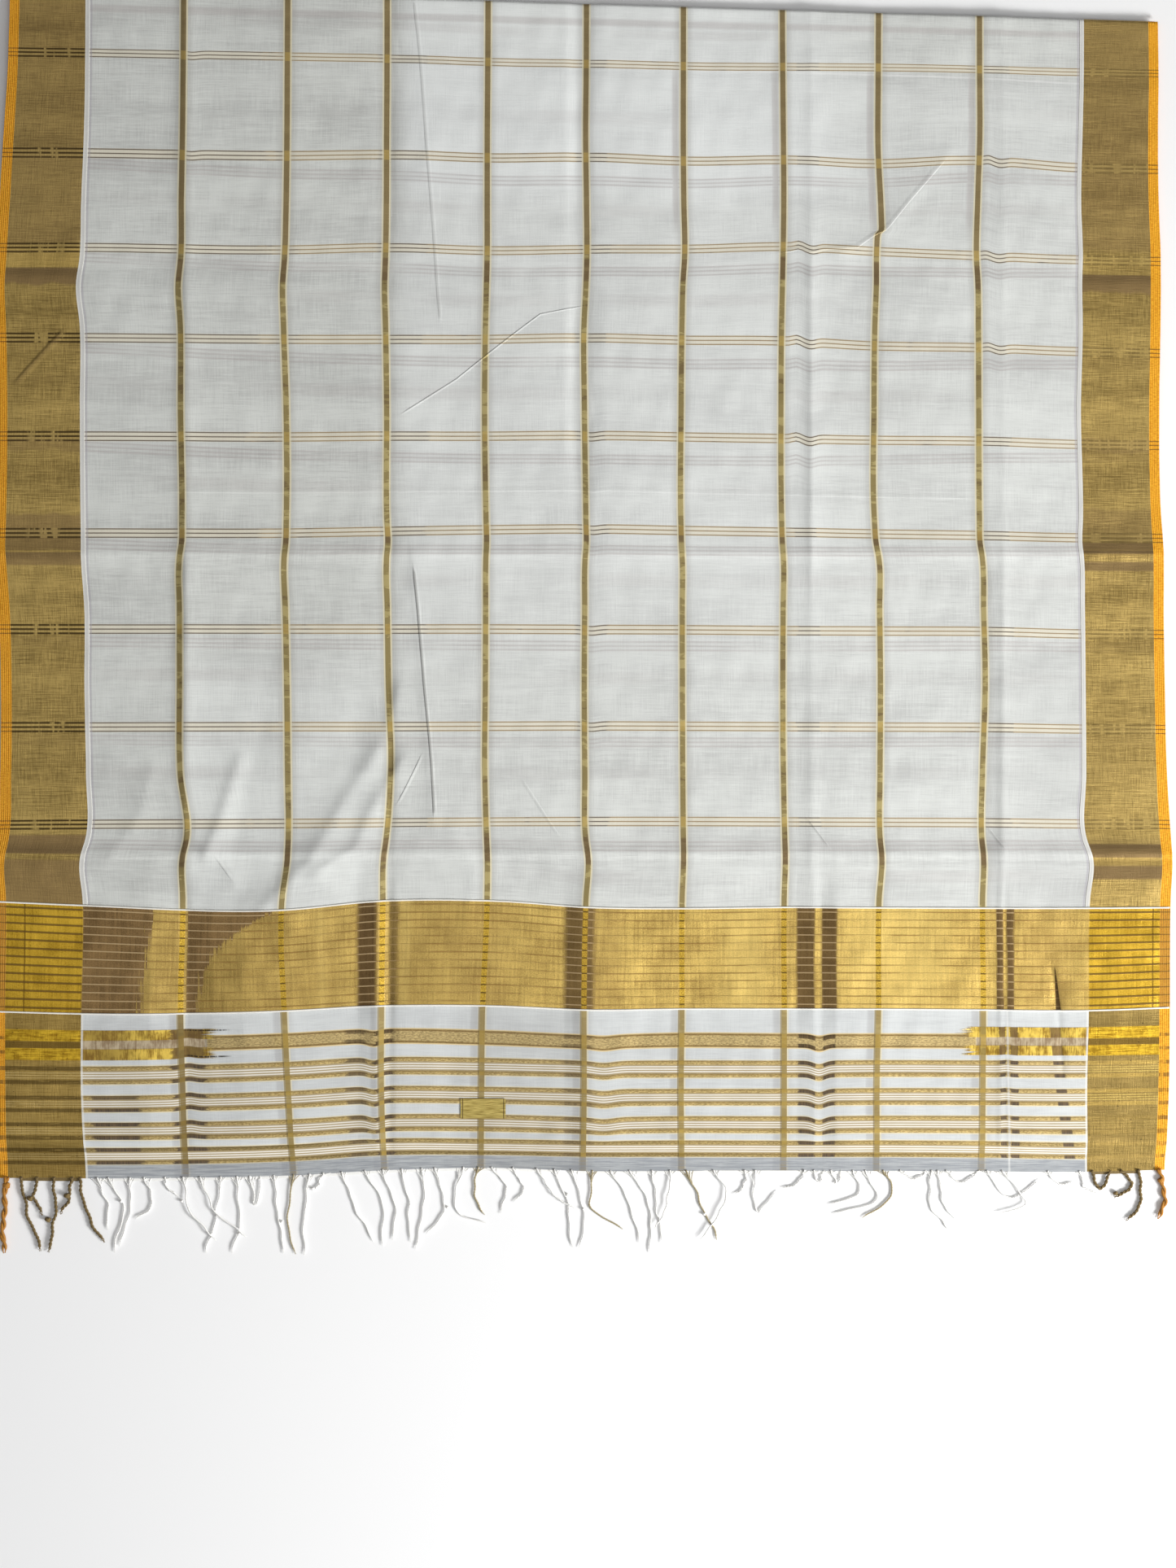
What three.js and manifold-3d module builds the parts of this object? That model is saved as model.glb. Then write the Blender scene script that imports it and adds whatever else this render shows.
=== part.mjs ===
// A handloom saree laid out flat in folded layers, its end piece (the pallu) on top.
// Millimetres. X runs across the cloth from selvedge to selvedge, Y runs from the fringe
// up to the folded top edge, and Z runs up from the surface that the saree lies on.
// The origin is the middle of the underside of the bounding box.
//
// Places on the cloth are given as a tailor measures them: "across" from the left selvedge
// and "down" from the fold at the top left corner.
import * as THREE from "three";
import Module from "manifold-3d";
import { mergeVertices } from "three/addons/utils/BufferGeometryUtils.js";

const wasm = await Module();
wasm.setup();

// Sizes of the cloth
const CLOTH_WIDTH = 1172;
const SELVEDGE_WIDTH = 10.5;
const BORDER_WIDTH = 82;
const BODY_END = 921;
const BAND_END = 1025;
const CLOTH_END = 1187;
const WALL = 1.2;
const SEAM = 0.3;

// The pile of layers below the one on top
const LAYER_COUNT = 5;
const LAYER_HEIGHT = 1.2;
const PILE_HEIGHT = LAYER_COUNT * LAYER_HEIGHT;
const PILE_END = 1149;
const PILE_CORNER = 14;
const GROOVE_DEPTH = 1.3;

// The roll of the top layer over the fold
const ROLL_RADIUS = 3.2;
const ROLL_ANGLE = THREE.MathUtils.degToRad(110);
const FOLD_SLOPE = 0.0303;
const FOLD_SLOPE_LENGTH = 500;

// Heights of the middle of the top layer's wall
const RESTING_HEIGHT = PILE_HEIGHT + SEAM + WALL / 2 + 0.5;
const FLOOR_HEIGHT = SEAM + WALL / 2 + 0.1;
const STEP_START = 1152;
const STEP_END = 1178;

// The label and the fringe
const LABEL = { across: 483, down: 1123, width: 45, height: 20, thickness: 1 };
const BACKING_WIDTH = 2.7;
const BACKING_HEIGHT = 1.4;
const THREAD_RADIUS = 0.8;
const CORD_RADIUS = 1.5;
const TASSEL_RADIUS = 1.4;
const LIFT_HEIGHT = 2;
const STRAND_STEPS = 6;

// The middle of the bounding box in tailor's coordinates
const CENTRE_ACROSS = 582.6;
const CENTRE_DOWN = 634.4;

// Where the long edges and the two border seams run at each distance down
const LONG_EDGES = [
  { down: 0, left: 10.2, leftSeam: 85.4, rightSeam: 1083.7, right: 1157 },
  { down: 96, left: 6.9, leftSeam: 84.9, rightSeam: 1083.4, right: 1158.2 },
  { down: 177, left: 1.6, leftSeam: 83.4, rightSeam: 1081.4, right: 1158 },
  { down: 271, left: -4.7, leftSeam: 79.4, rightSeam: 1082.6, right: 1160.4 },
  { down: 298, left: -6.1, leftSeam: 75.8, rightSeam: 1082, right: 1160.6 },
  { down: 340, left: -5, leftSeam: 79.6, rightSeam: 1082.4, right: 1160.2 },
  { down: 421, left: -3.4, leftSeam: 79.7, rightSeam: 1080.6, right: 1159 },
  { down: 535, left: -5, leftSeam: 80.5, rightSeam: 1082.6, right: 1161 },
  { down: 568, left: -5.3, leftSeam: 81, rightSeam: 1083, right: 1163 },
  { down: 625, left: -1.3, leftSeam: 84.3, rightSeam: 1084.6, right: 1163.4 },
  { down: 775, left: 0, leftSeam: 85.8, rightSeam: 1085.8, right: 1166.4 },
  { down: 850, left: -2.4, leftSeam: 85.6, rightSeam: 1086, right: 1170.4 },
  { down: 873, left: -6.3, leftSeam: 79.9, rightSeam: 1092.6, right: 1171.8 },
  { down: 975, left: -6.2, leftSeam: 81.8, rightSeam: 1089, right: 1170.4 },
  { down: 1089, left: -6.3, leftSeam: 80.7, rightSeam: 1087, right: 1169 },
  { down: 1187, left: -4.8, leftSeam: 84.8, rightSeam: 1087.6, right: 1165.1 },
];

// Where the two ends of the pallu band and the cloth's end run at each distance across
const CROSS_LINES = [
  { across: 0, bandStart: 916, bandEnd: 1026, clothEnd: 1193 },
  { across: 81, bandStart: 920, bandEnd: 1028, clothEnd: 1194 },
  { across: 187, bandStart: 922, bandEnd: 1028, clothEnd: 1194 },
  { across: 293, bandStart: 924, bandEnd: 1024, clothEnd: 1189 },
  { across: 366, bandStart: 916, bandEnd: 1020, clothEnd: 1186 },
  { across: 488, bandStart: 915, bandEnd: 1020, clothEnd: 1183 },
  { across: 602, bandStart: 923, bandEnd: 1025, clothEnd: 1186 },
  { across: 805, bandStart: 922, bandEnd: 1023.5, clothEnd: 1186 },
  { across: 1090, bandStart: 923, bandEnd: 1025, clothEnd: 1187 },
  { across: 1172, bandStart: 922, bandEnd: 1022, clothEnd: 1185 },
];

// Creases that run the length of the cloth; they stand higher in the stiff pallu
const LONG_CREASES = [
  { across: 187, halfWidth: 9, bodyRise: 1.2, palluRise: 4 },
  { across: 394, halfWidth: 8, bodyRise: 1.4, palluRise: 5 },
  { across: 592, halfWidth: 9, bodyRise: 1.2, palluRise: 3.5 },
  { across: 815, halfWidth: 11, bodyRise: 1.5, palluRise: 5 },
  { across: 1001, halfWidth: 7, bodyRise: 1.6, palluRise: 4 },
];

// Creases that run from selvedge to selvedge
const CROSS_CREASES = [
  { down: 283, halfWidth: 9, rise: 1.6 },
  { down: 568, halfWidth: 8, rise: 1.8 },
  { down: 869, halfWidth: 9, rise: 2.2 },
];

// Soft slanting folds, each a ridge between two places on the cloth
const SLANT_FOLDS = [
  { across: 358, down: 820, toAcross: 273, toDown: 922, halfWidth: 20, rise: 4 },
  { across: 273, down: 922, toAcross: 199, toDown: 1019, halfWidth: 20, rise: 3.5 },
  { across: 968, down: 177, toAcross: 854, toDown: 267, halfWidth: 16, rise: 1.5 },
];

// Grid lines of the walls, close together at the creases
const BORDER_LINES = [34, 58];
const FIELD_LINES = [
  130, 172, 187, 202, 250, 300, 345, 380, 394, 408, 450, 505, 560, 577, 592, 607, 660,
  720, 775, 797, 815, 833, 880, 940, 987, 1001, 1015, 1050,
];
const BODY_LINES = [
  30, 90, 150, 210, 264, 283, 302, 360, 430, 500, 549, 568, 587, 650, 720, 790, 848, 869,
  890,
];
const BAND_LINES = [947, 973, 999];
const END_LINES = [1060, 1100, 1138, 1153, 1161, 1170, 1178];

// Fringe strands: where each starts, bends and ends across the cloth, how far beyond the
// cloth's end it bends and ends, and whether it is lifted over its neighbours
const LEFT_TASSEL = [
  { root: 4, bend: 1, bendOut: 34, tip: 1, tipOut: 75, lifted: 0 },
  { root: 8, bend: 5, bendOut: 34, tip: 5, tipOut: 76, lifted: 0 },
];
const LEFT_CORDS = [
  { root: 20, bend: 25, bendOut: 29, tip: 41, tipOut: 73, lifted: 0 },
  { root: 36, bend: 34, bendOut: 22, tip: 43, tipOut: 37, lifted: 0 },
  { root: 53, bend: 54, bendOut: 39, tip: 47, tipOut: 74, lifted: 0 },
  { root: 71, bend: 68, bendOut: 19, tip: 60, tipOut: 36, lifted: 0 },
  { root: 79, bend: 86, bendOut: 34, tip: 103, tipOut: 64, lifted: 0 },
];
const FIELD_THREADS_1 = [
  { root: 96, bend: 107, bendOut: 30, tip: 106, tipOut: 52, lifted: 0 },
  { root: 107, bend: 121, bendOut: 25, tip: 113, tipOut: 74, lifted: 0 },
  { root: 129, bend: 129, bendOut: 25, tip: 120, tipOut: 68, lifted: 0 },
  { root: 143, bend: 151, bendOut: 27, tip: 135, tipOut: 41, lifted: 0 },
  { root: 164, bend: 168, bendOut: 11, tip: 177, tipOut: 19, lifted: 0 },
  { root: 182, bend: 189, bendOut: 32, tip: 216, tipOut: 63, lifted: 1 },
  { root: 199, bend: 214, bendOut: 33, tip: 247, tipOut: 60, lifted: 1 },
  { root: 220, bend: 216, bendOut: 35, tip: 205, tipOut: 76, lifted: 0 },
  { root: 236, bend: 239, bendOut: 43, tip: 232, tipOut: 76, lifted: 0 },
  { root: 249, bend: 255, bendOut: 28, tip: 261, tipOut: 1.6, lifted: 0 },
  { root: 273, bend: 278, bendOut: 38, tip: 282, tipOut: 78, lifted: 0 },
  { root: 293, bend: 287, bendOut: 37, tip: 294, tipOut: 79, lifted: 0 },
];
const FIELD_THREADS_2 = [
  { root: 309, bend: 304, bendOut: 38, tip: 303, tipOut: 80, lifted: 0 },
  { root: 323, bend: 317, bendOut: 11, tip: 313, tipOut: 17, lifted: 0 },
  { root: 341, bend: 353, bendOut: 32, tip: 373, tipOut: 71, lifted: 0 },
  { root: 364, bend: 382, bendOut: 36, tip: 382, tipOut: 76, lifted: 0 },
  { root: 382, bend: 394, bendOut: 38, tip: 393, tipOut: 70, lifted: 0 },
  { root: 401, bend: 408, bendOut: 33, tip: 409, tipOut: 73, lifted: 0 },
  { root: 421, bend: 424, bendOut: 34, tip: 414, tipOut: 80, lifted: 0 },
  { root: 434, bend: 444, bendOut: 41, tip: 426, tipOut: 65, lifted: 0 },
  { root: 463, bend: 456, bendOut: 43, tip: 486, tipOut: 56, lifted: 0 },
  { root: 478, bend: 474, bendOut: 30, tip: 485, tipOut: 47, lifted: 0 },
  { root: 491, bend: 506, bendOut: 22, tip: 500, tipOut: 46, lifted: 0 },
  { root: 512, bend: 523, bendOut: 20, tip: 513, tipOut: 34, lifted: 0 },
  { root: 536, bend: 553, bendOut: 24, tip: 576, tipOut: 38, lifted: 1 },
  { root: 554, bend: 567, bendOut: 34, tip: 572, tipOut: 77, lifted: 0 },
];
const FIELD_THREADS_3 = [
  { root: 571, bend: 584, bendOut: 41, tip: 579, tipOut: 77, lifted: 0 },
  { root: 592, bend: 592, bendOut: 37, tip: 624, tipOut: 58, lifted: 0 },
  { root: 610, bend: 631, bendOut: 37, tip: 639, tipOut: 72, lifted: 0 },
  { root: 629, bend: 651, bendOut: 40, tip: 648, tipOut: 82, lifted: 0 },
  { root: 652, bend: 657, bendOut: 37, tip: 662, tipOut: 72, lifted: 0 },
  { root: 670, bend: 669, bendOut: 23, tip: 655, tipOut: 60, lifted: 1 },
  { root: 686, bend: 701, bendOut: 33, tip: 718, tipOut: 69, lifted: 0 },
  { root: 713, bend: 726, bendOut: 21, tip: 701, tipOut: 68, lifted: 1 },
  { root: 745, bend: 745, bendOut: 13, tip: 735, tipOut: 24, lifted: 0 },
  { root: 755, bend: 758, bendOut: 41, tip: 777, tipOut: 20, lifted: 0 },
  { root: 805, bend: 797, bendOut: 13, tip: 783, tipOut: 17, lifted: 0 },
  { root: 814, bend: 819, bendOut: 11, tip: 825, tipOut: 1.6, lifted: 0 },
  { root: 831, bend: 837, bendOut: 12, tip: 842, tipOut: 1.6, lifted: 0 },
];
const FIELD_THREADS_4 = [
  { root: 853, bend: 859, bendOut: 21, tip: 828, tipOut: 34, lifted: 0 },
  { root: 865, bend: 877, bendOut: 26, tip: 833, tipOut: 43, lifted: 0 },
  { root: 883, bend: 893, bendOut: 20, tip: 864, tipOut: 47, lifted: 0 },
  { root: 900, bend: 914, bendOut: 8, tip: 928, tipOut: 1.6, lifted: 0 },
  { root: 932, bend: 931, bendOut: 34, tip: 950, tipOut: 59, lifted: 0 },
  { root: 938, bend: 944, bendOut: 31, tip: 954, tipOut: 48, lifted: 0 },
  { root: 946, bend: 962, bendOut: 11, tip: 979, tipOut: 1.6, lifted: 0 },
  { root: 987, bend: 1009, bendOut: 26, tip: 1042, tipOut: 8, lifted: 0 },
  { root: 1002, bend: 1025, bendOut: 32, tip: 1000, tipOut: 42, lifted: 1 },
  { root: 1048, bend: 1059, bendOut: 12, tip: 1076, tipOut: 10, lifted: 0 },
  { root: 1080, bend: 1086, bendOut: 16, tip: 1098, tipOut: 23, lifted: 0 },
];
const RIGHT_CORDS = [
  { root: 1092, bend: 1101, bendOut: 17, tip: 1110, tipOut: 1.6, lifted: 0 },
  { root: 1121, bend: 1133, bendOut: 15, tip: 1114, tipOut: 26, lifted: 0 },
  { root: 1139, bend: 1141, bendOut: 32, tip: 1127, tipOut: 50, lifted: 0 },
];
const RIGHT_TASSEL = [
  { root: 1157, bend: 1163, bendOut: 22, tip: 1158, tipOut: 48, lifted: 0 },
  { root: 1161, bend: 1167, bendOut: 23, tip: 1162, tipOut: 50, lifted: 0 },
];

// Reads one column of a table at a place between its rows
function lookUp(table, keyColumn, key, valueColumn) {
  const first = table[0];
  const last = table[table.length - 1];
  if (key <= first[keyColumn]) return first[valueColumn];
  if (key >= last[keyColumn]) return last[valueColumn];
  const next = table.findIndex((row) => row[keyColumn] >= key);
  const before = table[next - 1];
  const after = table[next];
  const share = (key - before[keyColumn]) / (after[keyColumn] - before[keyColumn]);
  return THREE.MathUtils.lerp(before[valueColumn], after[valueColumn], share);
}

// Joins pairs of a woven distance and where it lies by straight lines
function stretch(pairs, distance) {
  const rows = pairs.map(([woven, laid]) => ({ woven, laid }));
  return lookUp(rows, "woven", distance, "laid");
}

// A distance across the cloth as woven, and where it lies with the edges' waver
function laidAcross(across, down) {
  const pairs = [
    [0, lookUp(LONG_EDGES, "down", down, "left")],
    [BORDER_WIDTH, lookUp(LONG_EDGES, "down", down, "leftSeam")],
    [172, 172],
    [1050, 1050],
    [CLOTH_WIDTH - BORDER_WIDTH, lookUp(LONG_EDGES, "down", down, "rightSeam")],
    [CLOTH_WIDTH, lookUp(LONG_EDGES, "down", down, "right")],
  ];
  return stretch(pairs, across);
}

// The same for a distance down, between the slanting fold and the uneven end
function laidDown(across, down) {
  const slant = FOLD_SLOPE * across * Math.max(0, 1 - down / FOLD_SLOPE_LENGTH);
  const pairs = [
    [0, ROLL_RADIUS],
    [60, 60],
    [869, 869],
    [BODY_END, lookUp(CROSS_LINES, "across", across, "bandStart")],
    [BAND_END, lookUp(CROSS_LINES, "across", across, "bandEnd")],
    [CLOTH_END, lookUp(CROSS_LINES, "across", across, "clothEnd")],
  ];
  return stretch(pairs, down) + slant;
}

function ridge(distance, halfWidth) {
  return Math.exp(-((distance / halfWidth) ** 2));
}

// Height of a slanting fold, which fades out beyond its two ends
function slantFoldHeight(fold, across, down) {
  const length = Math.hypot(fold.toAcross - fold.across, fold.toDown - fold.down);
  const alongX = (fold.toAcross - fold.across) / length;
  const alongY = (fold.toDown - fold.down) / length;
  const fromStartX = across - fold.across;
  const fromStartY = down - fold.down;
  const along = fromStartX * alongX + fromStartY * alongY;
  const aside = fromStartX * alongY - fromStartY * alongX;
  const beyond = Math.max(0, -along, along - length);
  return fold.rise * ridge(aside, fold.halfWidth) * ridge(beyond, fold.halfWidth);
}

// Height of the middle of the top layer above the surface that the saree lies on
function topLayerHeight(across, down) {
  const pallu = THREE.MathUtils.smoothstep(down, BODY_END - 30, BODY_END + 30);
  let rise = 0;
  for (const crease of LONG_CREASES) {
    const creaseRise = THREE.MathUtils.lerp(crease.bodyRise, crease.palluRise, pallu);
    rise += creaseRise * ridge(across - crease.across, crease.halfWidth);
  }
  for (const crease of CROSS_CREASES) {
    rise += crease.rise * ridge(down - crease.down, crease.halfWidth);
  }
  for (const fold of SLANT_FOLDS) {
    rise += slantFoldHeight(fold, across, down);
  }
  rise += 0.4 * Math.sin(across / 61 + 0.4) * Math.sin(down / 83);
  const onPile = 1 - THREE.MathUtils.smoothstep(down, STEP_START, STEP_END);
  const base = THREE.MathUtils.lerp(FLOOR_HEIGHT, RESTING_HEIGHT, onPile);
  return base + rise * (0.25 + 0.75 * onPile);
}

// Place of the middle of the top layer; a distance down below zero runs over the fold
function topLayerPoint(across, down) {
  const flatDown = Math.max(down, 0);
  const x = laidAcross(across, flatDown);
  let y = laidDown(across, flatDown);
  let z = topLayerHeight(x, y);
  if (down < 0) {
    const turn = -down / ROLL_RADIUS;
    y -= ROLL_RADIUS * Math.sin(turn);
    z -= ROLL_RADIUS * (1 - Math.cos(turn));
  }
  return new THREE.Vector3(x - CENTRE_ACROSS, CENTRE_DOWN - y, z);
}

// Direction square to the top layer, pointing out of the pile
function topLayerNormal(across, down) {
  const step = 0.5;
  const acrossStep = topLayerPoint(across + step, down);
  acrossStep.sub(topLayerPoint(across - step, down));
  const downStep = topLayerPoint(across, down + step);
  downStep.sub(topLayerPoint(across, down - step));
  return downStep.cross(acrossStep).normalize();
}

function makeGeometry(points, faces) {
  const geometry = new THREE.BufferGeometry();
  const positions = points.flatMap((point) => [point.x, point.y, point.z]);
  geometry.setAttribute("position", new THREE.Float32BufferAttribute(positions, 3));
  geometry.setIndex(faces);
  return geometry;
}

// A closed wall between a grid of points and the same grid moved along the normals
function wallBetween(lower, upper) {
  const rows = lower.length;
  const columns = lower[0].length;
  const points = [...lower.flat(), ...upper.flat()];
  const half = rows * columns;
  const faces = [];
  const addQuad = (a, b, c, d) => faces.push(a, b, c, a, c, d);
  for (let row = 0; row < rows - 1; row += 1) {
    for (let column = 0; column < columns - 1; column += 1) {
      const corner = row * columns + column;
      const below = corner + columns;
      addQuad(half + corner, half + below, half + below + 1, half + corner + 1);
      addQuad(corner, corner + 1, below + 1, below);
    }
  }
  const rim = [];
  for (let column = 0; column < columns; column += 1) rim.push(column);
  for (let row = 1; row < rows; row += 1) rim.push(row * columns + columns - 1);
  for (let column = columns - 2; column >= 0; column -= 1) {
    rim.push((rows - 1) * columns + column);
  }
  for (let row = rows - 2; row > 0; row -= 1) rim.push(row * columns);
  rim.forEach((current, index) => {
    const next = rim[(index + 1) % rim.length];
    addQuad(current, half + current, half + next, next);
  });
  return makeGeometry(points, faces);
}

// A stretch of the top layer: a wall through the given grid lines
function topLayerWall(acrossLines, downLines, thickness = WALL, lift = 0) {
  const grid = (offset) =>
    downLines.map((down) =>
      acrossLines.map((across) => {
        const normal = topLayerNormal(across, down);
        return topLayerPoint(across, down).addScaledVector(normal, lift + offset);
      }),
    );
  return wallBetween(grid(-thickness / 2), grid(thickness / 2));
}

// Grid lines from one seam to the next, half the seam's gap inside each
function linesBetween(start, middle, end, startGap = SEAM / 2, endGap = SEAM / 2) {
  return [start + startGap, ...middle, end - endGap];
}

// Outline of one hidden layer: a rectangle with rounded corners, as the cloth lies
function pileOutline(inset, height) {
  const left = inset.left;
  const right = CLOTH_WIDTH - inset.right;
  const top = inset.top;
  const bottom = PILE_END - inset.bottom;
  const corners = [
    { across: right - PILE_CORNER, down: top + PILE_CORNER, start: -90 },
    { across: right - PILE_CORNER, down: bottom - PILE_CORNER, start: 0 },
    { across: left + PILE_CORNER, down: bottom - PILE_CORNER, start: 90 },
    { across: left + PILE_CORNER, down: top + PILE_CORNER, start: 180 },
  ];
  const sidePoints = 12;
  const cornerPoints = 4;
  const outline = [];
  corners.forEach((corner, index) => {
    const arc = [];
    for (let step = 0; step <= cornerPoints; step += 1) {
      const angle = THREE.MathUtils.degToRad(corner.start + (90 * step) / cornerPoints);
      arc.push({
        across: corner.across + PILE_CORNER * Math.cos(angle),
        down: corner.down + PILE_CORNER * Math.sin(angle),
      });
    }
    outline.push(...arc);
    const next = corners[(index + 1) % corners.length];
    const nextAngle = THREE.MathUtils.degToRad(next.start);
    const sideEnd = {
      across: next.across + PILE_CORNER * Math.cos(nextAngle),
      down: next.down + PILE_CORNER * Math.sin(nextAngle),
    };
    const sideStart = arc[arc.length - 1];
    for (let step = 1; step < sidePoints; step += 1) {
      const share = step / sidePoints;
      outline.push({
        across: THREE.MathUtils.lerp(sideStart.across, sideEnd.across, share),
        down: THREE.MathUtils.lerp(sideStart.down, sideEnd.down, share),
      });
    }
  });
  return outline.map(({ across, down }) => {
    const x = laidAcross(across, down) - CENTRE_ACROSS;
    const y = CENTRE_DOWN - laidDown(across, down);
    return new THREE.Vector3(x, y, height);
  });
}

// The hidden layers as one rounded solid with a groove between each two at its sides
function hiddenLayers() {
  const insets = [
    { left: 4.5, right: 3, top: -1, bottom: 1 },
    { left: 2.5, right: 5, top: 1, bottom: 4 },
    { left: 5, right: 3.5, top: 3, bottom: 2 },
    { left: 3, right: 5.5, top: 4, bottom: 0 },
    { left: 4, right: 4, top: 3, bottom: 3 },
  ];
  const grow = (inset, amount) => ({
    left: inset.left + amount,
    right: inset.right + amount,
    top: inset.top + amount,
    bottom: inset.bottom + amount,
  });
  const larger = (one, other) => ({
    left: Math.max(one.left, other.left),
    right: Math.max(one.right, other.right),
    top: Math.max(one.top, other.top),
    bottom: Math.max(one.bottom, other.bottom),
  });
  const rings = [pileOutline(grow(insets[0], 0.6), 0)];
  insets.forEach((inset, layer) => {
    const bottom = layer * LAYER_HEIGHT;
    rings.push(pileOutline(inset, bottom + LAYER_HEIGHT * 0.3));
    rings.push(pileOutline(inset, bottom + LAYER_HEIGHT * 0.7));
    if (layer < LAYER_COUNT - 1) {
      const groove = grow(larger(inset, insets[layer + 1]), GROOVE_DEPTH);
      rings.push(pileOutline(groove, bottom + LAYER_HEIGHT));
    }
  });
  rings.push(pileOutline(grow(insets[LAYER_COUNT - 1], 0.6), PILE_HEIGHT));
  const count = rings[0].length;
  const faces = [];
  for (let ring = 0; ring < rings.length - 1; ring += 1) {
    for (let index = 0; index < count; index += 1) {
      const next = (index + 1) % count;
      const lower = ring * count;
      const upper = lower + count;
      faces.push(lower + index, upper + index, upper + next);
      faces.push(lower + index, upper + next, lower + next);
    }
  }
  const points = rings.flat();
  const topStart = (rings.length - 1) * count;
  const bottomCentre = points.length;
  const topCentre = bottomCentre + 1;
  points.push(new THREE.Vector3(0, 0, 0), new THREE.Vector3(0, 0, PILE_HEIGHT));
  for (let index = 0; index < count; index += 1) {
    const next = (index + 1) % count;
    faces.push(bottomCentre, index, next);
    faces.push(topCentre, topStart + next, topStart + index);
  }
  return makeGeometry(points, faces);
}

function toSolid(geometry) {
  const merged = mergeVertices(geometry, 1e-4);
  const mesh = new wasm.Mesh({
    numProp: 3,
    vertProperties: new Float32Array(merged.attributes.position.array),
    triVerts: new Uint32Array(merged.index.array),
  });
  return new wasm.Manifold(mesh);
}

function fromSolid(solid) {
  const mesh = solid.getMesh();
  const geometry = new THREE.BufferGeometry();
  const positions = new Float32Array(mesh.vertProperties);
  geometry.setAttribute("position", new THREE.BufferAttribute(positions, 3));
  geometry.setIndex(Array.from(mesh.triVerts));
  return geometry;
}

// The cloth's end as the walls' grid lines draw it
const endLine = [
  0, SELVEDGE_WIDTH, ...BORDER_LINES, BORDER_WIDTH, ...FIELD_LINES,
  ...[BORDER_WIDTH, ...BORDER_LINES.toReversed(), SELVEDGE_WIDTH, 0].map(
    (line) => CLOTH_WIDTH - line,
  ),
].map((line) => ({
  across: laidAcross(line, CLOTH_END),
  down: laidDown(line, CLOTH_END),
}));

// A place beyond the cloth's end, out along the floor
function beyondEnd(across, out, height) {
  const end = lookUp(endLine, "across", across, "down");
  return new THREE.Vector3(across - CENTRE_ACROSS, CENTRE_DOWN - end - out, height);
}

// The narrow strip that holds the roots of one group of strands
function backingStrip(start, end) {
  const between = endLine.map((place) => place.across);
  const inside = between.filter((across) => across > start + 1 && across < end - 1);
  const alongs = [start, ...inside, end];
  const grid = (height) =>
    [SEAM, SEAM + BACKING_WIDTH].map((out) =>
      alongs.map((across) => beyondEnd(across, out, height)),
    );
  return wallBetween(grid(SEAM), grid(SEAM + BACKING_HEIGHT));
}

// One strand of three or four sides on a smooth line through its root, bend and tip
function strandTube(strand, radius, sides) {
  const resting = SEAM + 0.1 + radius * (sides === 3 ? 0.5 : 0.71);
  const height = resting + strand.lifted * LIFT_HEIGHT;
  const start = SEAM + BACKING_WIDTH / 2;
  const rootHeight = SEAM + 0.1 + radius * 0.71;
  const curve = new THREE.CatmullRomCurve3([
    beyondEnd(strand.root, start, rootHeight),
    beyondEnd(strand.bend, strand.bendOut, height),
    beyondEnd(strand.tip, strand.tipOut, strand.tipOut < 3 ? rootHeight : height),
  ]);
  const points = curve.getPoints(STRAND_STEPS);
  const up = new THREE.Vector3(0, 0, 1);
  const firstAngle = sides === 3 ? 90 : 45;
  const vertices = [];
  points.forEach((point, index) => {
    const along = curve.getTangent(index / STRAND_STEPS);
    const aside = new THREE.Vector3().crossVectors(along, up).normalize();
    const taper = index === STRAND_STEPS ? 0.7 : 1;
    for (let side = 0; side < sides; side += 1) {
      const angle = THREE.MathUtils.degToRad(firstAngle + (360 * side) / sides);
      const vertex = point.clone();
      vertex.addScaledVector(aside, radius * taper * Math.cos(angle));
      vertex.addScaledVector(up, radius * taper * Math.sin(angle));
      vertices.push(vertex);
    }
  });
  const faces = [];
  for (let step = 0; step < STRAND_STEPS; step += 1) {
    for (let side = 0; side < sides; side += 1) {
      const next = (side + 1) % sides;
      const near = step * sides;
      const far = near + sides;
      faces.push(near + side, far + next, near + next);
      faces.push(near + side, far + side, far + next);
    }
  }
  const last = STRAND_STEPS * sides;
  for (let side = 1; side < sides - 1; side += 1) {
    faces.push(0, side, side + 1);
    faces.push(last, last + side + 1, last + side);
  }
  return makeGeometry(vertices, faces);
}

// A group of strands whose roots are fused into one backing strip
function fringeGroup(strands, radius, sides) {
  const roots = strands.map((strand) => strand.root);
  const returns = strands.filter((strand) => strand.tipOut < 3).map((strand) => strand.tip);
  const margin = radius + 1;
  const start = Math.min(...roots, ...returns) - margin;
  const end = Math.max(...roots, ...returns) + margin;
  let solid = toSolid(backingStrip(start, end));
  for (const strand of strands) {
    solid = solid.add(toSolid(strandTube(strand, radius, sides)));
  }
  return fromSolid(solid);
}

const saree = new THREE.Group();
saree.name = "saree";

function addNode(name, geometry, colour, roughness, metalness = 0) {
  const material = new THREE.MeshStandardMaterial({ color: colour, roughness, metalness });
  material.side = THREE.FrontSide;
  const flat = geometry.toNonIndexed();
  flat.computeVertexNormals();
  const mesh = new THREE.Mesh(flat, material);
  mesh.name = name;
  saree.add(mesh);
}

const FIELD_COLOUR = 0xc8cbca;
const BORDER_COLOUR = 0x8a6f32;
const BAND_COLOUR = 0xc39a45;
const SELVEDGE_COLOUR = 0xe8a321;
const THREAD_COLOUR = 0xdad9d2;
const CORD_COLOUR = 0x7f6630;

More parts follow.
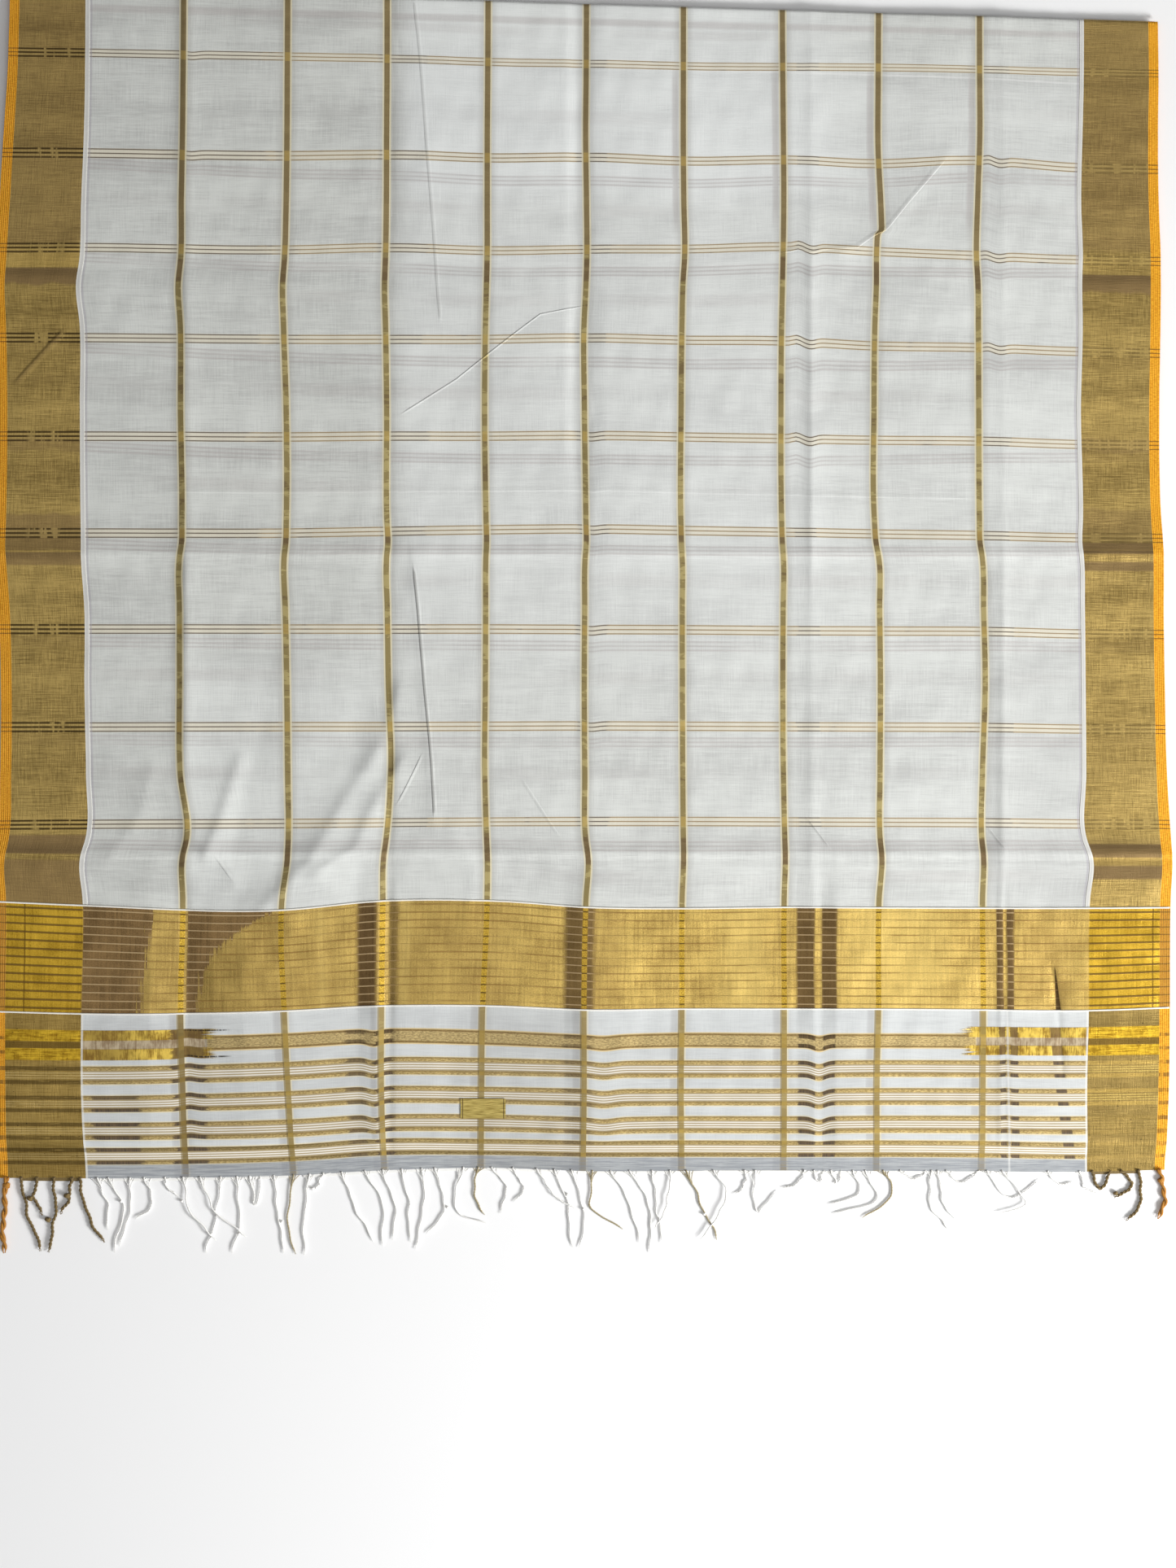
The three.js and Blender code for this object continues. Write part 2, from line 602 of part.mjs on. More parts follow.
const rollStart = -ROLL_RADIUS * ROLL_ANGLE;
const rollLines = [rollStart * (2 / 3), rollStart * (1 / 3), 0];
const bodyDown = linesBetween(rollStart, [...rollLines, ...BODY_LINES], BODY_END, 0);
const bandDown = linesBetween(BODY_END, BAND_LINES, BAND_END);
const endDown = linesBetween(BAND_END, END_LINES, CLOTH_END, SEAM / 2, 0);
const rightSeam = CLOTH_WIDTH - BORDER_WIDTH;
const rightSelvedgeSeam = CLOTH_WIDTH - SELVEDGE_WIDTH;
const rightBorderLines = BORDER_LINES.map((line) => CLOTH_WIDTH - line).reverse();
const fieldAcross = linesBetween(BORDER_WIDTH, FIELD_LINES, rightSeam);
const leftBorderAcross = linesBetween(SELVEDGE_WIDTH, BORDER_LINES, BORDER_WIDTH);
const rightBorderAcross = linesBetween(rightSeam, rightBorderLines, rightSelvedgeSeam);
const bandAcross = linesBetween(
  SELVEDGE_WIDTH,
  [...BORDER_LINES, BORDER_WIDTH, ...FIELD_LINES, rightSeam, ...rightBorderLines],
  rightSelvedgeSeam,
);
const selvedgeDown = [
  rollStart, ...rollLines, ...BODY_LINES, BODY_END, ...BAND_LINES, BAND_END, ...END_LINES,
  CLOTH_END,
];
const leftSelvedgeAcross = [0, SELVEDGE_WIDTH - SEAM / 2];
const rightSelvedgeAcross = [rightSelvedgeSeam + SEAM / 2, CLOTH_WIDTH];

addNode("under_layers", hiddenLayers(), FIELD_COLOUR, 0.85);
addNode("body_field", topLayerWall(fieldAcross, bodyDown), FIELD_COLOUR, 0.8);
addNode("body_border_left", topLayerWall(leftBorderAcross, bodyDown), BORDER_COLOUR, 0.45, 0.4);
addNode("body_border_right", topLayerWall(rightBorderAcross, bodyDown), BORDER_COLOUR, 0.45, 0.4);
addNode("selvedge_left", topLayerWall(leftSelvedgeAcross, selvedgeDown), SELVEDGE_COLOUR, 0.7);
addNode("selvedge_right", topLayerWall(rightSelvedgeAcross, selvedgeDown), SELVEDGE_COLOUR, 0.7);
addNode("pallu_band", topLayerWall(bandAcross, bandDown), BAND_COLOUR, 0.4, 0.5);
addNode("pallu_end_field", topLayerWall(fieldAcross, endDown), FIELD_COLOUR, 0.8);
addNode("pallu_end_border_left", topLayerWall(leftBorderAcross, endDown), BORDER_COLOUR, 0.45, 0.4);
addNode(
  "pallu_end_border_right",
  topLayerWall(rightBorderAcross, endDown),
  BORDER_COLOUR,
  0.45,
  0.4,
);

const labelAcross = [-0.5, -0.25, 0, 0.25, 0.5].map((share) => LABEL.across + share * LABEL.width);
const labelDown = [-0.5, 0, 0.5].map((share) => LABEL.down + share * LABEL.height);
const labelLift = WALL / 2 + SEAM + LABEL.thickness / 2;
const labelWall = topLayerWall(labelAcross, labelDown, LABEL.thickness, labelLift);
addNode("label", labelWall, 0xd2a84e, 0.5, 0.3);

addNode("tassel_left", fringeGroup(LEFT_TASSEL, TASSEL_RADIUS, 4), SELVEDGE_COLOUR, 0.8);
addNode("fringe_left", fringeGroup(LEFT_CORDS, CORD_RADIUS, 3), CORD_COLOUR, 0.6);
addNode("fringe_field_1", fringeGroup(FIELD_THREADS_1, THREAD_RADIUS, 3), THREAD_COLOUR, 0.8);
addNode("fringe_field_2", fringeGroup(FIELD_THREADS_2, THREAD_RADIUS, 3), THREAD_COLOUR, 0.8);
addNode("fringe_field_3", fringeGroup(FIELD_THREADS_3, THREAD_RADIUS, 3), THREAD_COLOUR, 0.8);
addNode("fringe_field_4", fringeGroup(FIELD_THREADS_4, THREAD_RADIUS, 3), THREAD_COLOUR, 0.8);
addNode("fringe_right", fringeGroup(RIGHT_CORDS, CORD_RADIUS, 3), CORD_COLOUR, 0.6);
addNode("tassel_right", fringeGroup(RIGHT_TASSEL, TASSEL_RADIUS, 4), SELVEDGE_COLOUR, 0.8);

export default saree;
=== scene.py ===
"""A handloom saree laid out flat in folded layers, with its pallu end on top.

Places on the cloth are in millimetres, as a tailor measures them: "across" from the left selvedge
and "down" from the fold. Woven places are where the threads are in the cloth, and laid places are
where those threads lie on the floor. Blender's own lengths are metres.
"""

import math

import bpy
import numpy as np
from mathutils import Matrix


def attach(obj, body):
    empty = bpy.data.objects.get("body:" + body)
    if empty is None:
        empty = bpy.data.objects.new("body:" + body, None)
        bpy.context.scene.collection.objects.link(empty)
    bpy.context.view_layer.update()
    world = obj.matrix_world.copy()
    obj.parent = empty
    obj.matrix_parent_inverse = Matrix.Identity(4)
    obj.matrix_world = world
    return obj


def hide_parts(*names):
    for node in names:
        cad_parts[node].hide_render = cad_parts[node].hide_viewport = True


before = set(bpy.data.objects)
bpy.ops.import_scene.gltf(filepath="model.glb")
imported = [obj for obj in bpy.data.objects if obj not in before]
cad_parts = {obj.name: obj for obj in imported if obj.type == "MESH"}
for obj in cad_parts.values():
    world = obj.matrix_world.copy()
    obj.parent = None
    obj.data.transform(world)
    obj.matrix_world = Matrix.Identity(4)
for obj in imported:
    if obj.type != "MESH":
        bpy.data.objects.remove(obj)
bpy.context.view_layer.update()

# Sizes of the cloth, as woven
CLOTH_WIDTH = 1172.0
SELVEDGE_WIDTH = 10.5
BORDER_WIDTH = 82.0
RIGHT_SEAM = CLOTH_WIDTH - BORDER_WIDTH
BODY_END = 921.0
BAND_END = 1025.0
CLOTH_END = 1187.0
FIRST_STRIPE = 182.0
STRIPE_SPACING = 99.8
STRIPE_COUNT = 9
FIRST_WEFT = 78.0
WEFT_SPACING = 94.875

# The pile of layers below the one on top
LAYER_HEIGHT = 1.2
PILE_END = 1149.0

# The top layer: its roll over the fold, its rest on the pile and its step down to the floor
ROLL_RADIUS = 3.2
ROLL_ANGLE = math.radians(110)
TOP_HEIGHT = 8.2
FLOOR_HEIGHT = 1.3
STEP_START = 1152.0
STEP_END = 1178.0

# The band's thin lines, and the broad bar and the four groups of thin lines below the band
FIRST_BAND_LINE = BODY_END + 4.6
BAND_LINE_SPACING = 7.9
BROAD_BAR = 1055.0
LINE_GROUPS = (1083.0, 1111.5, 1139.5, 1164.0)

# The middle of the bounding box in tailor's coordinates
CENTRE_ACROSS = 582.6
CENTRE_DOWN = 634.4

# Where the edges, the seams and the nine stripes lie at each distance down
WARP_ROWS = [
    (0, 10.2, 85.4, 184.0, 287.8, 387.0, 488.1, 586.4, 683.3, 782.0, 878.5, 979.1, 1083.7, 1156.9),
    (96, 6.9, 84.9, 183.3, 287.3, 386.8, 487.6, 586.0, 683.2, 782.6, 878.0, 979.4, 1083.4, 1158.2),
    (145, 3.6, 83.9, 182.8, 287.0, 386.5, 487.2, 585.5, 683.1, 783.1, 877.6, 979.7, 1082.3, 1157.6),
    (218, -0.9, 81.0, 181.4, 286.1, 386.2, 487.1, 586.4, 683.7, 783.6, 878.4, 977.4, 1080.9, 1158.4),
    (271, -4.7, 79.4, 180.8, 284.5, 385.3, 487.0, 586.7, 684.5, 782.9, 876.3, 976.2, 1082.6, 1160.4),
    (298, -6.1, 75.8, 178.2, 282.6, 384.4, 486.4, 585.9, 682.8, 782.3, 876.2, 977.7, 1082.0, 1160.6),
    (340, -5.0, 79.6, 180.4, 283.5, 385.4, 485.4, 583.9, 681.8, 781.4, 874.7, 978.2, 1082.4, 1160.2),
    (421, -3.4, 79.7, 180.7, 286.1, 386.6, 484.5, 584.3, 681.0, 780.8, 873.8, 978.5, 1080.6, 1159.0),
    (535, -5.0, 80.5, 182.2, 286.3, 386.8, 486.0, 585.8, 680.7, 781.5, 874.2, 979.2, 1082.6, 1161.0),
    (558, -5.8, 80.9, 181.9, 285.7, 387.7, 486.5, 586.1, 681.3, 782.2, 875.8, 979.7, 1081.9, 1162.6),
    (574, -5.0, 81.1, 179.6, 284.1, 386.4, 485.8, 585.0, 682.1, 783.3, 878.7, 982.1, 1083.6, 1163.2),
    (625, -1.3, 84.3, 179.6, 285.3, 387.2, 485.6, 584.6, 682.1, 783.0, 879.4, 983.4, 1084.6, 1163.4),
    (694, 0.8, 84.3, 179.7, 286.8, 388.2, 485.3, 584.2, 682.2, 782.7, 880.2, 984.9, 1085.4, 1164.4),
    (788, 0.0, 85.9, 180.5, 287.8, 390.7, 484.7, 584.7, 682.6, 783.3, 879.8, 982.2, 1085.9, 1166.6),
    (853, -2.6, 85.4, 187.0, 288.4, 386.2, 486.5, 585.5, 683.2, 784.6, 879.8, 981.5, 1086.2, 1170.6),
    (873, -6.3, 79.9, 182.8, 287.6, 383.6, 487.3, 588.0, 683.4, 785.1, 881.5, 983.2, 1092.6, 1171.8),
    (914, -5.3, 82.4, 182.9, 282.6, 382.8, 487.0, 585.9, 682.0, 784.1, 878.8, 982.3, 1089.6, 1170.4),
    (1036, -6.4, 80.9, 180.6, 284.9, 381.4, 482.1, 583.8, 681.7, 784.1, 878.0, 983.2, 1088.2, 1169.6),
    (1097, -6.0, 80.6, 182.4, 287.9, 381.3, 481.5, 584.0, 680.9, 784.1, 876.7, 982.8, 1086.8, 1168.8),
    (1190, -4.8, 84.8, 185.1, 293.2, 384.3, 480.8, 582.8, 681.8, 784.0, 877.0, 982.2, 1087.6, 1165.1),
]

WARP_KNOTS = (
    [0.0, BORDER_WIDTH]
    + [FIRST_STRIPE + STRIPE_SPACING * index for index in range(STRIPE_COUNT)]
    + [RIGHT_SEAM, CLOTH_WIDTH]
)

# Where the weft lines, the band's edges and the end's lines lie at each distance across
WEFT_COLUMNS = [0, 89, 285, 382, 488, 586, 683, 781, 879, 976, 1082, 1172]
WEFT_ROWS = [
    (0, (3.2, 5.9, 11.8, 14.8, 18.0, 21.0, 23.9, 26.9, 29.8, 32.8, 36.0, 38.7)),
    (78, (66.3, 67.5, 71.2, 72.8, 76.5, 78.1, 80.5, 81.4, 81.8, 83.8, 86.6, 88.0)),
    (172.875, (167.0, 167.6, 170.4, 169.2, 172.5, 171.7, 175.7, 174.5, 178.2, 174.9, 182.2, 184)),
    (267.75, (262.0, 262.0, 264.4, 262.0, 265.2, 263.6, 263.6, 261.2, 266.0, 270.1, 274.2, 276)),
    (362.625, (352.0, 352.3, 353.9, 353.9, 353.9, 352.3, 354.7, 355.5, 360.4, 362.1, 366.1, 368)),
    (457.5, (450.7, 450.7, 451.5, 450.7, 450.7, 449.9, 451.5, 453.2, 454.8, 455.6, 458.9, 460)),
    (552.375, (547.6, 547.6, 547.6, 545.9, 544.3, 543.5, 545.1, 546.7, 548.4, 550.0, 552.4, 553)),
    (647.25, (643.6, 643.6, 643.6, 643.6, 643.6, 644.0, 644.4, 645.2, 645.6, 646.0, 648.4, 649)),
    (742.125, (741.6, 741.6, 741.2, 741.2, 740.8, 740.4, 740.8, 741.2, 741.6, 742.0, 743.6, 744)),
    (837, (839.5, 838.8, 838.0, 837.2, 836.4, 836.0, 836.0, 836.4, 836.8, 837.2, 838.4, 839)),
    (BODY_END, (916, 920.2, 924.2, 915.3, 915.3, 921.8, 923.0, 921.8, 922.2, 922.6, 922.6, 922)),
    (BAND_END, (1026, 1028.4, 1025.1, 1020.3, 1020.3, 1024.3, 1023.5, 1023.5, 1023.5, 1024.3,
                1025.1, 1022)),
    (1054, (1057.5, 1058.5, 1053.6, 1049.1, 1051.2, 1055.2, 1053.6, 1054.4, 1054.4, 1054.8,
            1055.2, 1054)),
    (1083, (1089.5, 1090.2, 1085.3, 1080.5, 1081.3, 1083.3, 1083.7, 1083.7, 1082.9, 1083.3,
            1083.7, 1082.5)),
    (1111.5, (1118.2, 1118.7, 1113.8, 1108.9, 1109.8, 1111.8, 1111.8, 1111.8, 1111.0, 1111.4,
              1111.8, 1110.6)),
    (1139.5, (1145.0, 1145.5, 1142.3, 1137.4, 1137.4, 1139.9, 1139.0, 1139.4, 1138.6, 1139.0,
              1139.4, 1138.2)),
    (1164, (1171.2, 1171.6, 1167.5, 1161.4, 1161.8, 1163.4, 1163.4, 1163.9, 1163.4, 1164.3,
            1165.9, 1164.4)),
    (CLOTH_END, (1193, 1193.6, 1190.3, 1185.4, 1183.0, 1186.2, 1186.2, 1186.2, 1186.2, 1186.6,
                 1187.0, 1185)),
]


def through(knots, values, places):
    """Smooth line through values at knots, read at places; values may vary with the place."""
    knots = np.asarray(knots, float)
    places = np.asarray(places, float)
    values = np.asarray(values, float)
    if values.ndim == 1:
        values = values.reshape((-1,) + (1,) * places.ndim) + np.zeros((1,) + places.shape)
    slopes = np.empty_like(values)
    gaps = np.diff(knots).reshape((-1,) + (1,) * places.ndim)
    steps = np.diff(values, axis=0) / gaps
    slopes[0] = steps[0]
    slopes[-1] = steps[-1]
    weights = gaps[1:] / (gaps[1:] + gaps[:-1])
    slopes[1:-1] = steps[:-1] * weights + steps[1:] * (1 - weights)
    index = np.clip(np.searchsorted(knots, places, side="right") - 1, 0, len(knots) - 2)

    def pick(table, at):
        return np.take_along_axis(table, at[None], axis=0)[0]

    width = knots[index + 1] - knots[index]
    share = np.clip((places - knots[index]) / width, 0, 1)
    first, second = pick(values, index), pick(values, index + 1)
    first_slope, second_slope = pick(slopes, index) * width, pick(slopes, index + 1) * width
    square, cube = share**2, share**3
    return (
        first * (2 * cube - 3 * square + 1)
        + first_slope * (cube - 2 * square + share)
        + second * (3 * square - 2 * cube)
        + second_slope * (cube - square)
    )


# Short jogs of the weft over folds: across, reach, how far down, and the rows where it shows
WEFT_JOGS = [
    (797, 6, -2.0, 200, 520), (812, 8, 2.6, 200, 520), (990, 5, -1.2, 130, 400),
    (1003, 8, 2.0, 130, 400), (374, 9, 3.2, 1035, 1160), (601, 14, 2.2, 1035, 1160),
    (818, 9, 3.6, 1035, 1160), (1004, 6, -0.8, 1035, 1160), (188, 8, -1.8, 1035, 1160),
    (190, 9, 1.5, 20, 200), (588, 9, 1.4, 400, 800),
]


def laid_down(across, down):
    """Where a woven place lies, down from the fold's corner."""
    rows = [through(WEFT_COLUMNS, row, across) for _, row in WEFT_ROWS]
    lies = through([woven for woven, _ in WEFT_ROWS], np.array(rows), down)
    for middle, reach, amount, start, end in WEFT_JOGS:
        shows = np.clip((down - start) / 20, 0, 1) * np.clip((end - down) / 20, 0, 1)
        lies = lies + amount * np.exp(-(((across - middle) / reach) ** 2)) * shows
    return lies


def laid_across(across, down):
    """Where a woven place lies across, at a laid distance down."""
    table = np.array(WARP_ROWS)
    columns = [through(table[:, 0], table[:, index], down) for index in range(1, table.shape[1])]
    tucked = 4.5 * np.clip((down - 150) / 95, 0, 1) ** 2 * (1 - ease(down, 244, 250))
    beside = np.exp(-(((across - 886) / 22) ** 2))
    return through(WARP_KNOTS, np.array(columns), across) + tucked * beside


def woven_place(laid_x, laid_y):
    """The woven place that lies at a laid place."""
    across, down = np.array([float(laid_x)]), np.array([float(laid_y)])
    for _ in range(12):
        lies_down = laid_down(across, down)
        across = across + laid_x - laid_across(across, lies_down)
        down = down + laid_y - lies_down
    return float(across[0]), float(down[0])


def ease(value, start, end):
    """Smooth step from 0 at start to 1 at end."""
    share = np.clip((value - start) / (end - start), 0, 1)
    return share * share * (3 - 2 * share)


def window(value, start, end, soft):
    """1 between start and end, 0 outside, with soft sides."""
    return ease(value, start - soft, start + soft) * (1 - ease(value, end - soft, end + soft))


def crease(distance, near_width, far_width, roundness=1.2):
    """A crease's section, 1 at its line: near_width where distance is below zero."""
    width = np.where(distance < 0, near_width, far_width)
    return np.exp(-(np.sqrt(distance**2 + roundness**2) - roundness) / width)


def stroke(across, down, points, left_width, right_width, roundness, fade):
    """A crease along a line of laid points, which fades beyond its two ends."""
    best = np.full(across.shape, 1e9)
    result = np.zeros(across.shape)
    last = len(points) - 2
    for index in range(len(points) - 1):
        start, end = np.array(points[index], float), np.array(points[index + 1], float)
        length = np.hypot(*(end - start))
        along_x, along_y = (end - start) / length
        along = (across - start[0]) * along_x + (down - start[1]) * along_y
        aside = (across - start[0]) * along_y - (down - start[1]) * along_x
        before = np.maximum(0, -along)
        after = np.maximum(0, along - length)
        distance = np.hypot(aside, before + after)
        beyond = before * (index == 0) + after * (index == last)
        height = crease(aside, left_width, right_width, roundness) * np.exp(-((beyond / fade) ** 2))
        nearer = distance < best
        result = np.where(nearer, height * (distance < 6 * max(left_width, right_width)), result)
        best = np.where(nearer, distance, best)
    return result


# Slopes of the pallu across the cloth: where each stretch starts and ends, and its rise per mm
PALLU_SLOPES = [
    (0, 80, -0.02), (81, 150.5, 0.06), (150.5, 179, -0.12), (179, 187, -0.25), (187, 213, 0.22),
    (213, 244, 0.1), (244, 350, -0.03), (358, 376, 0.2), (377.5, 389, -0.3), (390.5, 395.5, 0.3),
    (398, 561, -0.012), (565, 582, 0.2), (592, 643, -0.08), (797, 814, 0.22), (814, 820, -0.1),
    (822, 836, 0.25), (838, 988.5, -0.04), (996, 1001, 0.3), (1001, 1004, -0.2),
    (1005, 1011, 0.25), (1017, 1088, -0.03), (1089, 1160, -0.05),
]


def pallu_profile():
    """The pallu's section across the cloth, in half millimetres, level at both selvedges."""
    places = np.arange(-20, CLOTH_WIDTH + 20, 0.5)
    slope = np.zeros_like(places)
    for start, end, rise in PALLU_SLOPES:
        slope += rise * window(places, start, end, 1.5)
    height = np.cumsum(slope) * 0.5
    anchors = np.array([0, 184, 392, 640, 830, 1008, CLOTH_WIDTH])
    drift = np.interp(places, anchors, np.interp(anchors, places, height))
    return places, height - 0.75 * drift


PROFILE_PLACES, PROFILE_HEIGHTS = pallu_profile()


def soft_waves(across, down, seed, count, shortest, longest):
    """Gentle unevenness: a sum of waves in all directions, about 1 high."""
    random = np.random.default_rng(seed)
    total = np.zeros(across.shape)
    for _ in range(count):
        length = random.uniform(shortest, longest)
        angle = random.uniform(0, math.pi)
        phase = random.uniform(0, 2 * math.pi)
        along = across * math.cos(angle) + down * math.sin(angle)
        total += np.sin(2 * math.pi * along / length + phase)
    return total / math.sqrt(count)


# Folds along laid points: the rise, the points, the widths to the left and right of the line,
# the roundness of its crest and how far it fades beyond its ends
FOLDS = [
    # Soft folds that fan out above the band, left of the middle
    (4.4, [(396, 715), (384, 757), (345, 815), (311, 875), (270, 916)], 10, 26, 3, 20),
    (3.2, [(398, 782), (370, 828), (356, 862), (320, 885)], 7, 18, 2.5, 14),
    (3.2, [(238, 778), (231, 800), (219, 838), (207, 866)], 5, 15, 2, 10),
    (-1.4, [(262, 745), (246, 800), (236, 850)], 12, 12, 5, 20),
    (1.6, [(202, 864), (222, 874), (236, 898)], 5, 7, 1.5, 8),
    (1.5, [(150, 790), (140, 830), (112, 868)], 8, 14, 2, 14),
    (1.6, [(452, 845), (475, 880), (470, 912)], 12, 8, 2, 12),
    # Long lines where the folded cloth was pressed askew
    (0.5, [(413, 15), (428, 170), (440, 340)], 8, 12, 1.0, 20),
    (1.2, [(413, 576), (424, 700), (434, 836)], 4, 14, 1.0, 20),
    (1.6, [(947, 170), (911, 215), (883, 246), (857, 262), (842, 266)], 16, 6, 0.9, 10),
    (-1.2, [(1052, 987), (1058, 1024), (1062, 1082)], 3, 3, 0.8, 8),
]


def relief(across, down):
    """Rise of the top layer above its rest, at laid places, where it lies on the pile."""
    rise = np.zeros(across.shape)
    pallu = ease(down, BODY_END - 45, BODY_END + 10)
    end_panel = ease(down, BAND_END - 5, BAND_END + 40)
    profile = np.interp(across, PROFILE_PLACES, PROFILE_HEIGHTS)
    rise += profile * (0.28 * ease(down, 600, BODY_END - 20) * (1 - pallu) + 0.8 * pallu)
    rise -= profile * 0.3 * end_panel

    # Press creases that run the length of the cloth
    body = 1 - pallu
    lower_body = ease(down, 520, 600)
    rise += crease(across - 186, 9, 24, 1.6) * (2.6 + 1.4 * lower_body) * body
    valley = 1.0 + 1.4 * window(down, -20, 250, 30) + 1.2 * window(down, 545, 590, 15)
    valley += 1.0 * window(down, 700, 800, 20)
    rise -= crease(across - 391, 8, 12, 1.5) * valley * body
    rise -= (ease(across, 565, 576) - ease(across, 578, 608)) * body * (
        2.2 * window(down, 300, 480, 40) + 1.5 * window(down, -20, 250, 30) + 0.5)
    rise += crease(across - 811, 6, 14, 1.5) * body * (1.0 + 1.6 * window(down, 260, 600, 30))
    rise += crease(across - 1003, 10, 12, 1.6) * body * (1.0 + 1.6 * lower_body)

    # Press creases from selvedge to selvedge
    rise -= crease(down - 283, 26, 14, 1.2) * (0.7 + 0.8 * (1 - ease(across, 200, 500)))
    rise += crease(down - 568, 15, 8, 1.2) * 2.4
    rise += crease(down - 868, 12, 20, 1.2) * 2.8
    rise -= crease(down - 874, 3, 5, 0.8) * 1.0

    for height, points, left_width, right_width, roundness, fade in FOLDS:
        rise += height * stroke(across, down, points, left_width, right_width, roundness, fade)

    # The edge of a layer below, felt through the cloth
    below = np.interp(across, [360, 600, 840, 1085], [71, 88, 92, 100])
    rise -= 0.5 * (1 - ease(down - below, -3, 3)) * ease(across, 330, 400) * ease(down, 20, 50)
    rise += 0.5 * soft_waves(across, down, 5, 14, 80, 210)
    rise += 0.24 * soft_waves(across, down, 11, 24, 24, 60)
    rise += 0.05 * soft_waves(across * 0.25, down, 17, 20, 6, 16)
    return rise


def place_top(across, down):
    """Laid points of the top layer, in metres, for woven places; down below zero is the roll."""
    flat_down = np.maximum(down, 0)
    y = laid_down(across, flat_down)
    x = laid_across(across, y)
    on_pile = 1 - ease(y, STEP_START, STEP_END)
    rise = relief(x, y)
    z = FLOOR_HEIGHT + (TOP_HEIGHT - FLOOR_HEIGHT) * on_pile + rise * (0.25 + 0.75 * on_pile)
    z = np.maximum(z, 0.5 + 5.5 * on_pile)
    turn = np.maximum(-down, 0) / ROLL_RADIUS
    y = y - ROLL_RADIUS * np.sin(turn)
    z = z - ROLL_RADIUS * (1 - np.cos(turn))
    return np.stack([x - CENTRE_ACROSS, CENTRE_DOWN - y, z], axis=-1) / 1000


def grid_lines(start, end, spacing, centres=(), reach=12.0, fine=1.6):
    """Grid lines from start to end, closer together near each centre."""
    lines = [start]
    while lines[-1] < end:
        near = any(abs(lines[-1] - centre) < reach for centre in centres)
        lines.append(lines[-1] + (fine if near else spacing))
    lines = np.array(lines)
    return start + (lines - start) * (end - start) / (lines[-1] - start)


def make_object(name, points, faces, material, woven=None):
    """A mesh object from points and faces in metres, with woven places in metres as its UV map."""
    mesh = bpy.data.meshes.new(name)
    mesh.from_pydata([list(point) for point in points], [], [list(face) for face in faces])
    if woven is not None:
        layer = mesh.uv_layers.new(name="woven")
        corner_points = np.zeros(len(mesh.loops), dtype=np.int64)
        mesh.loops.foreach_get("vertex_index", corner_points)
        layer.data.foreach_set("uv", (np.asarray(woven) / 1000)[corner_points].ravel())
    mesh.materials.append(material)
    mesh.polygons.foreach_set("use_smooth", [True] * len(mesh.polygons))
    mesh.update()
    piece = bpy.data.objects.new(name, mesh)
    bpy.context.scene.collection.objects.link(piece)
    return piece


def grid_faces(rows, columns, first=0):
    """Quads of a grid of points; seen from above when down runs along the rows."""
    corner = (np.arange(rows - 1)[:, None] * columns + np.arange(columns - 1)[None]).ravel() + first
    return np.stack([corner, corner + columns, corner + columns + 1, corner + 1], axis=1)


def cloth_sheet(name, across_lines, down_lines, material):
    """One woven stretch of the top layer."""
    down, across = np.meshgrid(down_lines, across_lines, indexing="ij")
    points = place_top(across, down).reshape(-1, 3)
    woven = np.stack([across, down], axis=-1).reshape(-1, 2)
    faces = grid_faces(len(down_lines), len(across_lines))
    return make_object(name, points, faces, material, woven)


def tint(red, green, blue):
    """A colour given as on a screen, 0 to 255, as Blender's linear values."""
    linear = [
        value / 255 / 12.92 if value <= 10 else ((value / 255 + 0.055) / 1.055) ** 2.4
        for value in (red, green, blue)
    ]
    return (*linear, 1.0)


def feed(tree, socket, value):
    """Puts a value or a plain setting into a node's socket."""
    if isinstance(value, Value):
        tree.links.new(value.socket, socket)
    else:
        socket.default_value = value


def calculate(operation, *values, clamp=False):
    """A math node; at least one of the values comes from a node."""
    tree = next(value.tree for value in values if isinstance(value, Value))
    made = tree.nodes.new("ShaderNodeMath")
    made.operation = operation
    made.use_clamp = clamp
    for socket, value in zip(made.inputs, values):
        feed(tree, socket, value)
    return Value(tree, made.outputs[0])


def either(*masks):
    """The highest of some masks."""
    total = masks[0]
    for mask in masks[1:]:
        total = calculate("MAXIMUM", total, mask)
    return total


